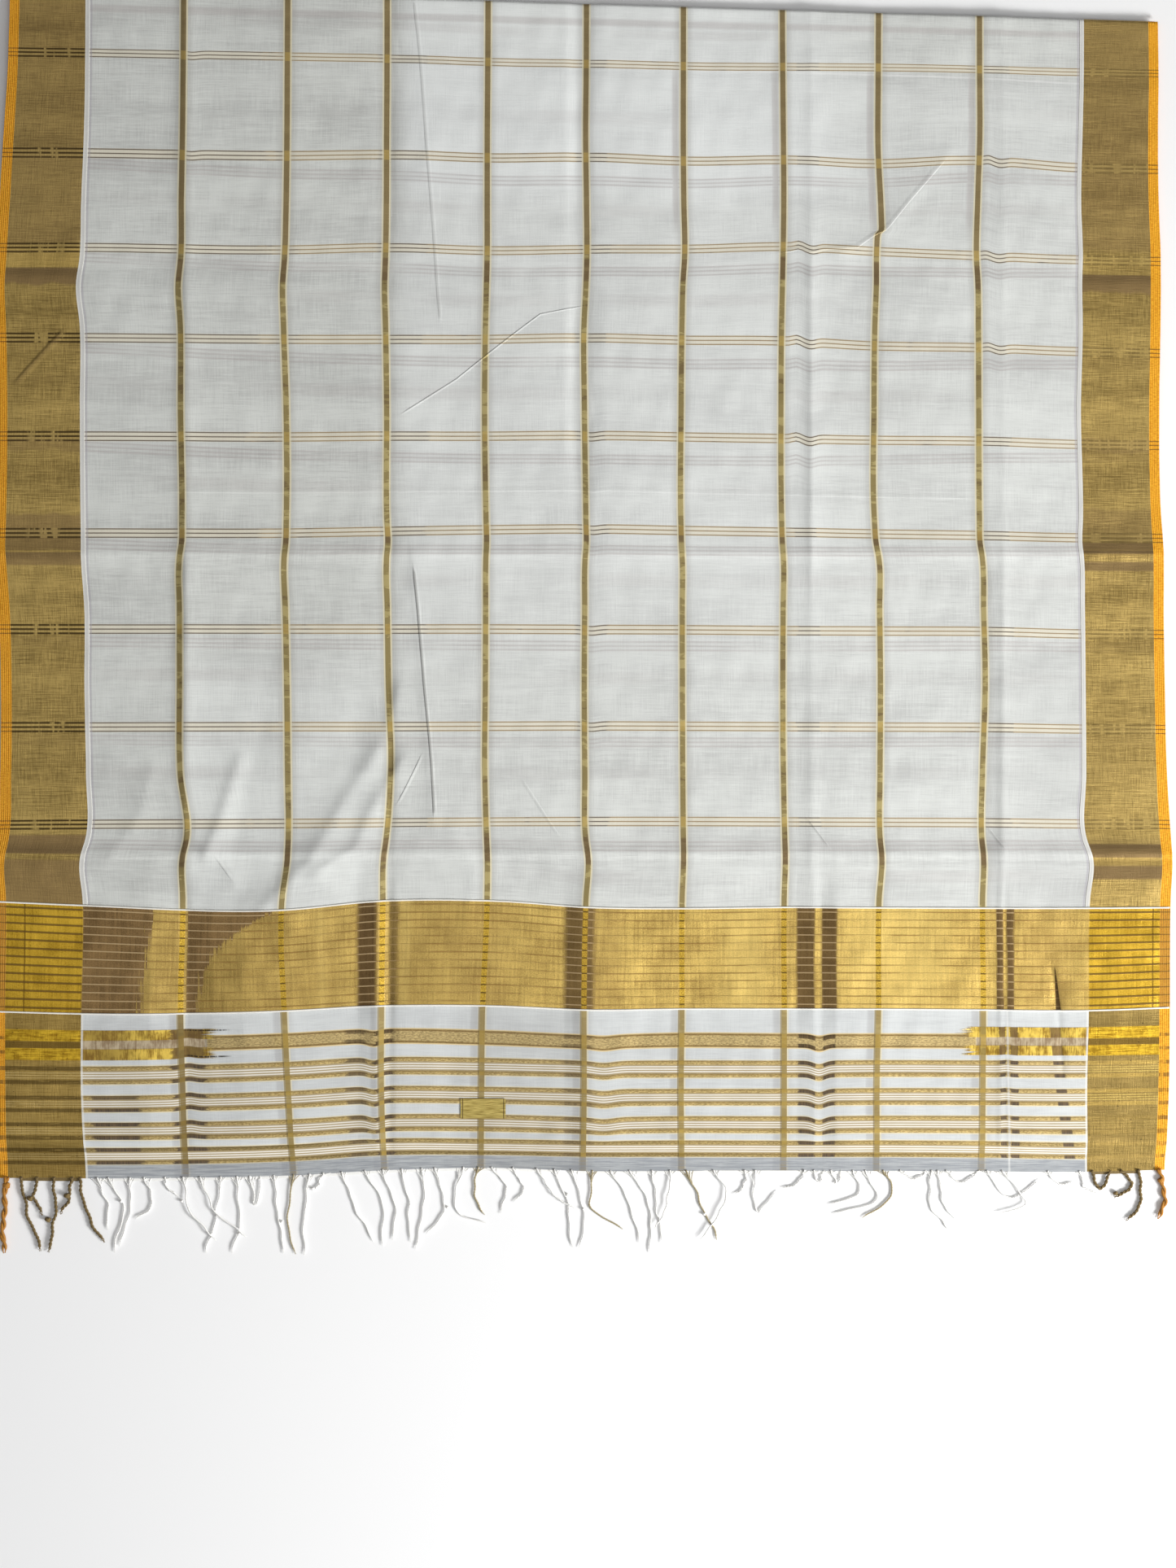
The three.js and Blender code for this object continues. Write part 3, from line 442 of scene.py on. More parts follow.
class Value:
    """A node's output, for sums and masks written as plain formulas."""

    def __init__(self, tree, socket):
        self.tree = tree
        self.socket = socket

    def __add__(self, other):
        return calculate("ADD", self, other)

    __radd__ = __add__

    def __sub__(self, other):
        return calculate("SUBTRACT", self, other)

    def __rsub__(self, other):
        return calculate("SUBTRACT", other, self)

    def __mul__(self, other):
        return calculate("MULTIPLY", self, other)

    def __truediv__(self, other):
        return calculate("DIVIDE", self, other)

    def __pow__(self, other):
        return calculate("POWER", self, other)

    def __abs__(self):
        return calculate("ABSOLUTE", self)

    def sine(self):
        return calculate("SINE", self)

    def ramp(self, start, end):
        """0 at start and 1 at end, with a smooth way between; start may be above end."""
        made = self.tree.nodes.new("ShaderNodeMapRange")
        made.interpolation_type = "SMOOTHSTEP"
        rising = start < end
        settings = {
            "Value": self, "From Min": min(start, end), "From Max": max(start, end),
            "To Min": 0.0 if rising else 1.0, "To Max": 1.0 if rising else 0.0,
        }
        for name, value in settings.items():
            feed(self.tree, made.inputs[name], value)
        return Value(self.tree, made.outputs["Result"])

    def blend(self, low, high):
        """low where this is 0 and high where it is 1."""
        made = self.tree.nodes.new("ShaderNodeMix")
        made.data_type = "FLOAT"
        for index, value in ((0, self), (2, low), (3, high)):
            feed(self.tree, made.inputs[index], value)
        return Value(self.tree, made.outputs[0])

    def between(self, start, end, soft=0.5):
        """1 between start and end, with soft sides."""
        return self.ramp(start - soft, start + soft) * self.ramp(end + soft, end - soft)

    def bar(self, centre, half, soft=0.4):
        """1 within half of centre."""
        return abs(self - centre).ramp(half + soft, half - soft)

    def repeated(self, first, spacing):
        """Signed distance to the nearest of many lines at equal spacing."""
        turns = (self - first) / spacing
        return (turns - calculate("ROUND", turns)) * spacing


class Weave:
    """A procedural cloth material drawn in woven places, in millimetres."""

    def __init__(self, name):
        self.material = bpy.data.materials.new(name)
        self.material.use_nodes = True
        self.tree = self.material.node_tree
        self.shader = self.tree.nodes["Principled BSDF"]
        coordinates = self.tree.nodes.new("ShaderNodeUVMap")
        coordinates.uv_map = "woven"
        millimetres = self.tree.nodes.new("ShaderNodeVectorMath")
        millimetres.operation = "SCALE"
        millimetres.inputs["Scale"].default_value = 1000.0
        self.tree.links.new(coordinates.outputs[0], millimetres.inputs[0])
        self.place = Value(self.tree, millimetres.outputs[0])
        parts = self.tree.nodes.new("ShaderNodeSeparateXYZ")
        feed(self.tree, parts.inputs[0], self.place)
        self.across = Value(self.tree, parts.outputs[0])
        self.down = Value(self.tree, parts.outputs[1])

    def noise(self, length_across, length_down, detail=2.0, seed=0.0, roughness=0.5):
        """Uneven values about 0.5, whose grains have these lengths in millimetres."""
        stretched = self.tree.nodes.new("ShaderNodeVectorMath")
        stretched.operation = "MULTIPLY_ADD"
        feed(self.tree, stretched.inputs[0], self.place)
        stretched.inputs[1].default_value = (1 / length_across, 1 / length_down, 0.0)
        stretched.inputs[2].default_value = (seed * 3.7, seed * 1.9, seed)
        made = self.tree.nodes.new("ShaderNodeTexNoise")
        self.tree.links.new(stretched.outputs[0], made.inputs["Vector"])
        made.inputs["Scale"].default_value = 1.0
        made.inputs["Detail"].default_value = detail
        made.inputs["Roughness"].default_value = roughness
        return Value(self.tree, made.outputs[0])

    def tilted(self, slope_across, slope_down, offset):
        """A plane over the cloth."""
        first = calculate("MULTIPLY_ADD", self.across, slope_across, offset)
        return calculate("MULTIPLY_ADD", self.down, slope_down, first)

    def fold_line(self, laid_points, left_width, right_width, fade=14.0):
        """A pressed line through laid places, 1 at its top, which falls off over two widths."""
        places = [woven_place(*point) for point in laid_points]
        masks = []
        last = len(places) - 2
        for index in range(len(places) - 1):
            (across, down), (next_across, next_down) = places[index:index + 2]
            length = math.hypot(next_across - across, next_down - down)
            east, south = (next_across - across) / length, (next_down - down) / length
            along = self.tilted(east, south, -across * east - down * south)
            aside = self.tilted(south, -east, down * east - across * south)
            section = aside.ramp(-left_width, 0.0) * aside.ramp(right_width, 0.0)
            begin = along.ramp(-1.0, fade if index == 0 else 0.0)
            end = along.ramp(length + 1.0, length - fade if index == last else length)
            masks.append(section * begin * end)
        return either(*masks)

    def mix(self, share, low, high):
        """Two colours, blended by share."""
        made = self.tree.nodes.new("ShaderNodeMix")
        made.data_type = "RGBA"
        for index, value in ((0, share), (6, low), (7, high)):
            feed(self.tree, made.inputs[index], value)
        return Value(self.tree, made.outputs[2])

    def finish(self, colour, metallic, roughness, height, distance, sheen=0.0):
        """The material, with its look and its fine relief, distance metres high."""
        settings = {
            "Base Color": colour, "Metallic": metallic, "Roughness": roughness,
            "Specular IOR Level": 0.25, "Sheen Weight": sheen, "Sheen Roughness": 0.5,
        }
        for name, value in settings.items():
            feed(self.tree, self.shader.inputs[name], value)
        bump = self.tree.nodes.new("ShaderNodeBump")
        bump.inputs["Strength"].default_value = 1.0
        bump.inputs["Distance"].default_value = distance
        feed(self.tree, bump.inputs["Height"], height)
        self.tree.links.new(bump.outputs[0], self.shader.inputs["Normal"])
        return self.material


# Colours that more than one formula uses, or that name a kind of thread
FIELD_LIGHT = tint(215, 217, 212)
FIELD_SHADE = tint(190, 191, 187)
GHOST = tint(170, 160, 158)
CREAM = tint(226, 216, 190)
THREAD_DARK = tint(74, 56, 40)
THREAD_GOLD = tint(150, 126, 86)
# The stripes' shaded and glinting colours are painted shade and painted glints of their metal thread
STRIPE_SHADED = tint(124, 106, 70)
STRIPE_MIDDLE = tint(146, 130, 84)
STRIPE_GLINT = tint(176, 160, 108)
STRIPE_EDGE = tint(220, 210, 176)
BORDER_DARK = tint(132, 110, 60)
BORDER_LIGHT = tint(196, 168, 100)
BORDER_BROWN = tint(138, 113, 74)
BORDER_TICK = tint(70, 54, 26)
BAND_LIGHT = tint(226, 194, 110)
BAND_SHADE = tint(168, 138, 74)
MUSTARD_DARK = tint(146, 110, 22)
MUSTARD_LIGHT = tint(212, 172, 58)
SELVEDGE_YELLOW = tint(236, 164, 30)

# Fine pressed lines of the field in laid places, each with its two widths, its height and
# how strongly painted shade darkens its line. They have fifteen segments in all: with more of them
# the renderer draws the whole field black.
FIELD_LINES = [
    ([(399, 430), (456, 394), (540, 329), (586, 320)], 1.6, 1.3, 1.0, 0.0),
    ([(947, 172), (885, 245), (857, 262), (773, 268)], 5.0, 1.3, 0.85, 0.0),
    ([(413, 15), (440, 340)], 1.5, 4.0, 0.6, 0.2),
    ([(413, 576), (434, 836)], 1.3, 4.0, 1.1, 0.5),
    ([(395, 822), (423, 766)], 3.0, 1.3, 0.9, 0.0),
    ([(521, 792), (561, 853)], 3.0, 1.4, 0.8, 0.0),
    ([(146, 506), (976, 513)], 1.6, 5.0, 0.5, 0.0),
    ([(84, 873), (178, 872)], 1.4, 4.0, 0.9, 0.0),
    ([(214, 868), (235, 898)], 1.5, 3.0, 0.8, 0.0),
    ([(804, 829), (832, 866)], 2.5, 1.4, 0.8, 0.3),
    ([(985, 838), (1010, 870)], 2.5, 1.4, 0.8, 0.2),
]


def stripe_masks(weave):
    """The warp stripes: their gold middle, their cream sides and a shade about them."""
    across = weave.across
    distance = abs(across.repeated(FIRST_STRIPE, STRIPE_SPACING))
    inside = across.between(FIRST_STRIPE - 20, 1000)
    gold = distance.ramp(3.1, 2.3) * inside
    cream = distance.ramp(4.7, 3.9) * inside
    halo = distance.ramp(12.0, 4.0) * inside
    return gold, cream, halo


def stripe_colour(weave):
    """The stripes' metal thread, with painted glints and painted shade that change sharply along the
    stripe.
    """
    glint_patches = weave.noise(60, 16, 4.0, 9.0, 0.7)
    colour = weave.mix(glint_patches.ramp(0.52, 0.56), STRIPE_MIDDLE, STRIPE_GLINT)
    return weave.mix(glint_patches.ramp(0.42, 0.38), colour, STRIPE_SHADED)


def weft_masks(weave, half=0.55):
    """The weft lines in threes: their dark threads and the pale gold between them."""
    down = weave.down
    signed = down.repeated(FIRST_WEFT, WEFT_SPACING)
    inside = down.between(FIRST_WEFT - 20, 860)
    distance = abs(signed)
    middle = distance.ramp(half + 0.3, half - 0.3)
    outer = distance.bar(4.1, half, 0.35)
    threads = either(middle, outer) * inside
    ground = distance.ramp(5.4, 4.4) * inside
    return threads, ground


def ghost_mask(weave):
    """The layers below, which show faintly through the top one as soft lines and bars."""
    across, down = weave.across, weave.down
    bow = ((across - 60.0) * (math.pi / 1130)).sine()
    lower = down.ramp(500, 640)
    offset = lower.blend(bow * 15.0 + 9.0, bow * 4.0 + 12.0)
    offset = offset + down.ramp(790, 850) * 8.0
    shifted = down - offset
    distance = abs(shifted.repeated(FIRST_WEFT, WEFT_SPACING))
    lines = either(distance.ramp(1.4, 0.3), abs(distance - 4.1).ramp(1.4, 0.3))
    second = lines * 0.75 + distance.ramp(7.5, 3.0) * 0.25
    second = second * down.between(150, 880, 4.0)
    faded = second * weave.noise(120, 60, 2.0, 3.0).ramp(0.15, 0.55)
    deeper = shifted - 31.0
    far = abs(deeper.repeated(FIRST_WEFT, WEFT_SPACING))
    third = far.ramp(9.0, 3.0) * weave.noise(200, 80, 1.0, 8.0).ramp(0.4, 0.7)
    fourth = down.bar(22.0, 5.0, 3.0) * 0.5
    columns = across.repeated(FIRST_STRIPE - 8.5, STRIPE_SPACING)
    bars = columns.bar(0.0, 3.0, 1.5) * down.between(84, 240, 20.0) * across.between(640, 1010, 4.0)
    return either(faded * 0.62, third * 0.22, fourth, bars * 0.5)


def field_ground(weave):
    """Plain field: silver grey, cloudy and slubby."""
    clouds = weave.noise(150, 38, 2.0, 1.0)
    streaks = weave.noise(70, 3.0, 3.0, 6.0, 0.6)
    slubs = weave.noise(22, 1.2, 3.0, 2.0, 0.7)
    warps = weave.noise(1.2, 30, 2.0, 5.0, 0.6)
    tone = clouds * 0.3 + streaks * 0.22 + slubs * 0.28 + warps * 0.2
    colour = weave.mix(tone.ramp(0.36, 0.6), FIELD_SHADE, FIELD_LIGHT)
    return colour, slubs, warps


def seam_cord(weave):
    """The white cord where field and border meet, and the lilac line inside it."""
    across = weave.across
    left = across - BORDER_WIDTH
    right = RIGHT_SEAM - across
    inward = calculate("MINIMUM", abs(left), abs(right))
    cord = inward.ramp(5.0, 4.2)
    rims = either(inward.bar(0.8, 0.5, 0.4), inward.bar(4.2, 0.4, 0.4))
    shade = inward.bar(6.2, 1.0, 0.8)
    return cord, rims, shade


def field_tones(weave, colour):
    """Painted light and painted shade over broad stretches of the field, and the edge of a layer
    below.
    """
    across, down = weave.across, weave.down
    to_the_right = across.ramp(385, 412) * across.ramp(740, 930).blend(1.0, 0.15)
    # Painted light over broad stretches of the field
    painted_light = down.ramp(235, 190) * 0.28 + down.ramp(760, 560) * 0.24
    low_left = across.between(182, 370, 20.0) * down.ramp(640, 720)
    painted_light = to_the_right * painted_light + low_left * 0.22
    colour = weave.mix(painted_light, colour, tint(244, 247, 246))
    # Painted shade at the lower right
    shaded_low_right = across.ramp(980, 992) * down.ramp(600, 720)
    colour = weave.mix(shaded_low_right * 0.2, colour, tint(150, 150, 148))
    below = down - (across * 0.022 + 66.0)
    shows = across.ramp(330, 420)
    colour = weave.mix(below.ramp(0.0, 4.0) * shows * 0.1, colour, tint(236, 238, 240))
    return weave.mix(below.bar(1.5, 1.0, 0.8) * shows * 0.45, colour, tint(244, 244, 242))


def weft_colour(weave):
    """The weft lines' thread: painted shade where it turns from the light at the left and at the
    press creases, gold elsewhere.
    """
    across = weave.across
    turned_from_light = either(
        across.ramp(340, 170), across.between(376, 420, 8.0), across.between(574, 602, 8.0),
        across.between(796, 818, 5.0), across.between(985, 1010, 6.0))
    uneven = weave.noise(28, 30, 2.0, 7.0, 0.7)
    return weave.mix((turned_from_light * 0.5 + uneven).ramp(0.58, 0.78), THREAD_GOLD, THREAD_DARK)


def field_stripe_colour(weave, crossing):
    """The stripes' thread in the field: darker above, and darkened by painted shade at the press
    creases.
    """
    down = weave.down
    colour = weave.mix(down.ramp(282, 262) * 0.85, stripe_colour(weave), tint(136, 118, 82))
    # Painted shade on the stripes at the press creases
    pressed = either(down.bar(290, 12, 1.5), down.bar(556, 8, 1.5), down.bar(866, 13, 1.5))
    colour = weave.mix(pressed * 0.75, colour, tint(108, 86, 60))
    return weave.mix(crossing * 0.5, colour, tint(196, 166, 90))


def body_field_material():
    """The top layer's field: checked, with seams and fine pressed lines."""
    weave = Weave("tissue_field")
    colour, slubs, warps = field_ground(weave)
    colour = field_tones(weave, colour)
    colour = weave.mix(ghost_mask(weave) * 0.75, colour, GHOST)
    threads, ground = weft_masks(weave)
    colour = weave.mix(ground * 0.62, colour, CREAM)
    colour = weave.mix(threads * 0.85, colour, weft_colour(weave))
    gold, cream, halo = stripe_masks(weave)
    colour = weave.mix(halo * 0.3, colour, tint(146, 142, 132))
    colour = weave.mix(cream * 0.8, colour, STRIPE_EDGE)
    colour = weave.mix(gold, colour, field_stripe_colour(weave, gold * ground))
    cord, rims, shade = seam_cord(weave)
    colour = weave.mix(cord, colour, tint(208, 207, 203))
    colour = weave.mix(rims * 0.6, colour, tint(236, 234, 224))
    colour = weave.mix(shade * 0.5, colour, tint(166, 160, 170))
    relief_height = slubs * 0.4 + warps * 0.3 + gold * 0.3 + cord * 0.9
    for points, left_width, right_width, height, line_shade in FIELD_LINES:
        pressed_line = weave.fold_line(points, left_width, right_width)
        relief_height = relief_height + pressed_line * height
        if line_shade > 0:
            # Painted shade along the line's middle
            shaded_core = pressed_line.ramp(0.45, 0.85) * line_shade
            colour = weave.mix(shaded_core, colour, tint(112, 110, 106))
    shine = either(gold * 0.35, threads * 0.2)
    return weave.finish(colour, shine, gold.blend(0.75, 0.42), relief_height, 0.0005, 0.15)


def border_ground(weave, seed):
    """Border cloth of metallic weft: fine flecks, slubs and uneven bars."""
    abrash = weave.noise(400, 34, 3.0, seed, 0.6)
    slubs = weave.noise(26, 1.3, 3.0, seed + 1, 0.7)
    warps = weave.noise(1.3, 22, 3.0, seed + 2, 0.7)
    tone = abrash * 0.3 + slubs * 0.4 + warps * 0.3
    colour = weave.mix(tone.ramp(0.36, 0.62), BORDER_DARK, BORDER_LIGHT)
    return colour, slubs, warps


def border_painted_shade(down, straight, wavy, left, right):
    """Brown stretches of painted shade on the borders, where their metal threads turn from the light:
    right ones, and all.
    """
    low_left = either(
        wavy.between(528, 564, 2.0) * 0.7, straight.between(565, 578, 1.5) * 0.85,
        straight.ramp(840, 843) * straight.ramp(862, 861), straight.ramp(866, 870) * 0.8)
    shaded_low_right = right * either(
        wavy.between(524, 557, 2.0) * 0.3, down.between(557, 568, 0.8) * 0.85,
        down.between(576, 585, 1.2) * 0.8, down.between(857, 870.5, 0.8) * 0.95,
        down.between(878.5, 892, 1.5) * 0.95)
    brown = either(
        straight.ramp(262, 254) * 0.45, straight.ramp(282, 283.5) * wavy.ramp(303, 298),
        wavy.between(452, 466, 2.0) * 0.35, low_left * left, shaded_low_right)
    return shaded_low_right, brown


def body_border_material():
    """Antique gold borders beside the field, with ticks where weft lines run on, painted shade where
    their metal threads turn from the light and painted highlights by the cross creases.
    """
    weave = Weave("zari_border")
    across, down = weave.across, weave.down
    colour, slubs, warps = border_ground(weave, 21.0)
    threads, ground = weft_masks(weave, 0.95)
    right = across.ramp(500, 600)
    left = 1 - right
    straight = down - left * 6.0
    wavy = straight + weave.noise(30, 400, 4.0, 24.0, 0.65) * 14.0 - 7.0
    shaded_low_right, brown = border_painted_shade(down, straight, wavy, left, right)
    # Painted shade where the metal threads turn from the light, deepest on the right border's lower
    # stretches
    colour = weave.mix(brown * 0.9, colour, BORDER_BROWN)
    colour = weave.mix(shaded_low_right * 0.5, colour, tint(100, 80, 52))
    # Painted shade that dulls the top of the lowest cross crease on the right
    crest = down.bar(874.5, 4.0, 2.0) * right
    colour = weave.mix(crest * 0.5, colour, tint(134, 110, 58))
    # The deepest painted shade, in the cross creases
    darkest_shade = either(
        straight.ramp(282, 283.5) * straight.ramp(296, 286),
        straight.ramp(565, 566) * straight.ramp(576, 568),
        straight.ramp(846, 858) * straight.ramp(862, 861))
    colour = weave.mix(darkest_shade * 0.35, colour, tint(84, 66, 42))
    # Painted highlights along the cross creases
    bright = either(
        straight.between(262, 281, 1.5), straight.bar(281.0, 0.7), straight.bar(564.3, 0.7),
        down.bar(569.5, 1.6) * right)
    colour = weave.mix(bright * right.blend(0.4, 0.12), colour, tint(206, 174, 96))
    colour = weave.mix(ground * 0.3, colour, tint(204, 176, 108))
    unbroken = either(
        weave.noise(9, 60, 2.0, 25.0, 0.7).ramp(0.38, 0.5), across.ramp(36, 28),
        across.between(66, BORDER_WIDTH, 2.0))
    colour = weave.mix(threads * unbroken * right.blend(0.95, 0.45), colour, BORDER_TICK)
    colour = weave.mix(ghost_mask(weave) * 0.3, colour, BORDER_BROWN)
    # A fold of the left border: raised, and darkened by painted shade
    fold = weave.fold_line([(66, 342), (49, 360), (12, 401)], 3.0, 6.0)
    colour = weave.mix(fold * 0.35, colour, BORDER_BROWN)
    height = slubs * 0.5 + warps * 0.5 + fold * 0.9
    return weave.finish(colour, brown.blend(0.75, 0.5), 0.48, height, 0.0006)


def selvedge_material():
    """Dense yellow edges, whose ticks carry on the lines of the cloth beside them."""
    weave = Weave("selvedge")
    across, down = weave.across, weave.down
    picks = weave.noise(4, 0.8, 2.0, 31.0)
    cords = (across * (2 * math.pi / 1.9)).sine()
    colour = weave.mix(picks.ramp(0.35, 0.65), tint(222, 146, 22), tint(244, 178, 42))
    threads, _ = weft_masks(weave)
    left = across.ramp(600, 500)
    colour = weave.mix(left * 0.3, colour, tint(168, 110, 14))
    colour = weave.mix(threads * 0.8, colour, tint(112, 74, 22))
    band = down.between(BODY_END, BAND_END, 0.5)
    ribs = cords.ramp(-0.2, 0.4)
    colour = weave.mix(band * 0.5, colour, tint(176, 130, 44))
    colour = weave.mix(band * ribs * 0.6, colour, tint(150, 104, 40))
    colour = weave.mix(band_lines(down) * 0.7, colour, tint(104, 74, 24))
    bars, _ = end_masks(down)
    ticks = either(bars, down.bar(1049.0, 1.5), down.bar(1062.0, 1.5))
    uneven = weave.noise(6, 30, 2.0, 32.0, 0.7).ramp(0.4, 0.6)
    colour = weave.mix(ticks * uneven.blend(0.3, 0.8), colour, tint(120, 84, 22))
    height = cords * 0.3 + picks * 0.4
    return weave.finish(colour, 0.0, 0.6, height, 0.0005, 0.1)


def band_lines(down, wide=0.85, narrow=0.35):
    """Thirteen thin lines from selvedge to selvedge in the band."""
    distance = abs(down.repeated(FIRST_BAND_LINE, BAND_LINE_SPACING))
    return distance.ramp(wide, narrow) * down.between(BODY_END + 3, BAND_END - 3, 0.5)


def beyond_seams(across):
    """1 on the two borders, 0 between them."""
    return either(
        across.ramp(BORDER_WIDTH + 1, BORDER_WIDTH - 1), across.ramp(RIGHT_SEAM - 1, RIGHT_SEAM + 1))


# The band's brown stretches of painted shade across: start, end, softness and strength
BAND_SHADED_STRETCHES = [
    (357, 376, 3.0, 1.0), (388.5, 397, 3.0, 0.6), (561, 591, 4.0, 0.9), (794, 813, 2.0, 0.95),
    (820.5, 837, 2.0, 0.95), (994, 1001, 1.0, 0.95), (1004.5, 1012, 1.0, 0.95),
]


def band_painted_shade(weave, share):
    """Painted shade where the band's metal threads turn away from the light: its brown stretches."""
    threads = weave.noise(2.2, 55, 3.0, 44.0, 0.7) - 0.5
    broad = weave.noise(20, 16, 2.0, 45.0, 0.6) - 0.5
    place = weave.across + threads * 38.0 + broad * 8.0
    first = (place - (152.0 - share * 12.0)).ramp(2.0, -2.0)
    first = first * weave.across.ramp(BORDER_WIDTH - 0.5, BORDER_WIDTH + 0.5)
    curve = calculate("SUBTRACT", 1.0, share, clamp=True) ** 3.0 * 78.0 + 199.0
    second = (place - curve).ramp(2.0, -2.0) * weave.across.ramp(186.5, 188)
    nearly = weave.across + threads * 5.0
    masks = [
        nearly.between(start, end, soft) * strength
        for start, end, soft, strength in BAND_SHADED_STRETCHES
    ]
    return either(first, second, *masks)


def band_slit_shadow(across, share):
    """A painted shadow in a slit of folded cloth that widens towards the band's lower edge."""
    beyond = abs(across - share * 9.0 - 1049.5) - (share - 0.5) * 5.6
    return beyond.ramp(0.5, -0.5) * share.ramp(0.55, 0.62)


def band_tones(weave, tone):
    """The band's metal weft, with painted light and painted shade by stretches."""
    across = weave.across
    colour = weave.mix(tone.ramp(0.36, 0.62), BAND_SHADE, BAND_LIGHT)
    lit_stretches = either(
        across.bar(321, 4, 6), across.bar(404, 5, 4), across.bar(742, 20, 12),
        across.bar(899, 50, 30))
    colour = weave.mix(lit_stretches * 0.4, colour, tint(240, 210, 124))
    shaded_stretches = either(
        across.ramp(380, 330), across.bar(450, 60, 30), across.bar(382, 6, 3),
        across.bar(606, 16, 8), across.bar(1044, 32, 16))
    return weave.mix(shaded_stretches * 0.35, colour, tint(158, 130, 74))


def band_border_colour(weave, tone):
    """The band's two ends in the borders' width, each with a thin dark seam line."""
    across = weave.across
    colour = weave.mix(tone.ramp(0.3, 0.62), MUSTARD_DARK, MUSTARD_LIGHT)
    seam_line = either(across.bar(27.8, 0.5), across.bar(CLOTH_WIDTH - 17.5, 0.6))
    return weave.mix(seam_line * 0.8, colour, tint(96, 70, 22))


def band_material():
    """The bright gold cross band, with mustard ends, thin dark lines, and painted shade where its
    metal turns from the light.
    """
    weave = Weave("zari_band")
    across, down = weave.across, weave.down
    share = (down - BODY_END) / (BAND_END - BODY_END)
    grain = weave.noise(1.5, 1.0, 3.0, 41.0, 0.75)
    blotches = weave.noise(44, 22, 4.0, 42.0, 0.6)
    streaks = weave.noise(2.6, 60, 4.0, 43.0, 0.75)
    tone = blotches * 0.32 + streaks * 0.3 + grain * 0.38
    colour = band_tones(weave, tone)
    turned_from_light = band_painted_shade(weave, share)
    # Painted shade: the brown of the metal where it turns from the light
    brown = weave.mix(tone.ramp(0.38, 0.62), tint(108, 84, 50), tint(152, 122, 78))
    brown = weave.mix(across.between(350, 1020, 2.0) * 0.55, brown, tint(86, 64, 34))
    colour = weave.mix(turned_from_light, colour, brown)
    # Painted shadow in a slit of folded cloth
    colour = weave.mix(band_slit_shadow(across, share) * 0.92, colour, tint(62, 46, 28))
    edge = beyond_seams(across)
    colour = weave.mix(edge, colour, band_border_colour(weave, tone))
    gold, _, _ = stripe_masks(weave)
    gold_inside = gold * (1 - edge)
    yellow = weave.mix(grain.ramp(0.4, 0.6), tint(166, 128, 34), tint(214, 178, 66))
    colour = weave.mix(gold_inside * 0.85, colour, yellow)
    lines = either(band_lines(down), band_lines(down, 1.25, 0.6) * edge)
    faint = weave.noise(50, 30, 3.0, 46.0).ramp(0.4, 0.6)
    strength = either(turned_from_light, edge, gold, faint * 0.6 + 0.2)
    line_colour = weave.mix(turned_from_light, tint(136, 100, 44), tint(190, 164, 122))
    line_colour = weave.mix(edge, line_colour, tint(92, 66, 18))
    line_colour = weave.mix(gold_inside, line_colour, tint(70, 50, 14))
    colour = weave.mix(lines * strength * 0.85, colour, line_colour)
    metallic = either(lines, turned_from_light * 0.6).blend(0.85, 0.2)
    roughness = turned_from_light.blend(0.3, 0.55) + streaks * 0.14
    height = grain * 0.4 + streaks * 0.6 + lines * 0.3
    return weave.finish(colour, metallic, roughness, height, 0.0005)


def group_distance(down, raised=0.0):
    """Distance to the middle of the nearest group of thin lines."""
    nearest = abs(down - (LINE_GROUPS[0] - raised))
    for middle in LINE_GROUPS[1:]:
        nearest = calculate("MINIMUM", nearest, abs(down - (middle - raised)))
    return nearest


def end_masks(down):
    """The groups' gold bars, and the pale thin lines between them."""
    distance = group_distance(down)
    pale = either(distance.bar(2.4, 0.55, 0.35), distance.ramp(0.9, 0.3))
    return distance.bar(6.5, 2.0, 0.35), pale


def end_painted_shade(weave):
    """Painted shade where the end panel's metal threads turn from the light: the flanks of its folds.
    """
    across, down = weave.across, weave.down
    uneven = weave.noise(12, 3, 3.0, 53.0, 0.7) - 0.5
    place = across + uneven * 18.0
    near = across + uneven * 5.0
    slant = BAND_END - down
    by_ridge = near + slant * 0.025
    by_slit = across + slant * 0.13
    lower = down.ramp(1090, 1110)
    return either(
        place.between(92, 140, 3.0) * lower, place.between(172, 204, 2.0),
        place.between(344, 366, 3.0) * 0.8, place.between(374, 394, 2.0),
        place.between(560, 590, 4.0) * 0.6, near.between(795, 813.5, 1.0),
        near.between(822, 835.5, 1.0), by_ridge.between(995.5, 1002, 0.8),
        by_ridge.between(1006.5, 1015, 0.8), by_slit.between(1047, 1058.5, 1.0))


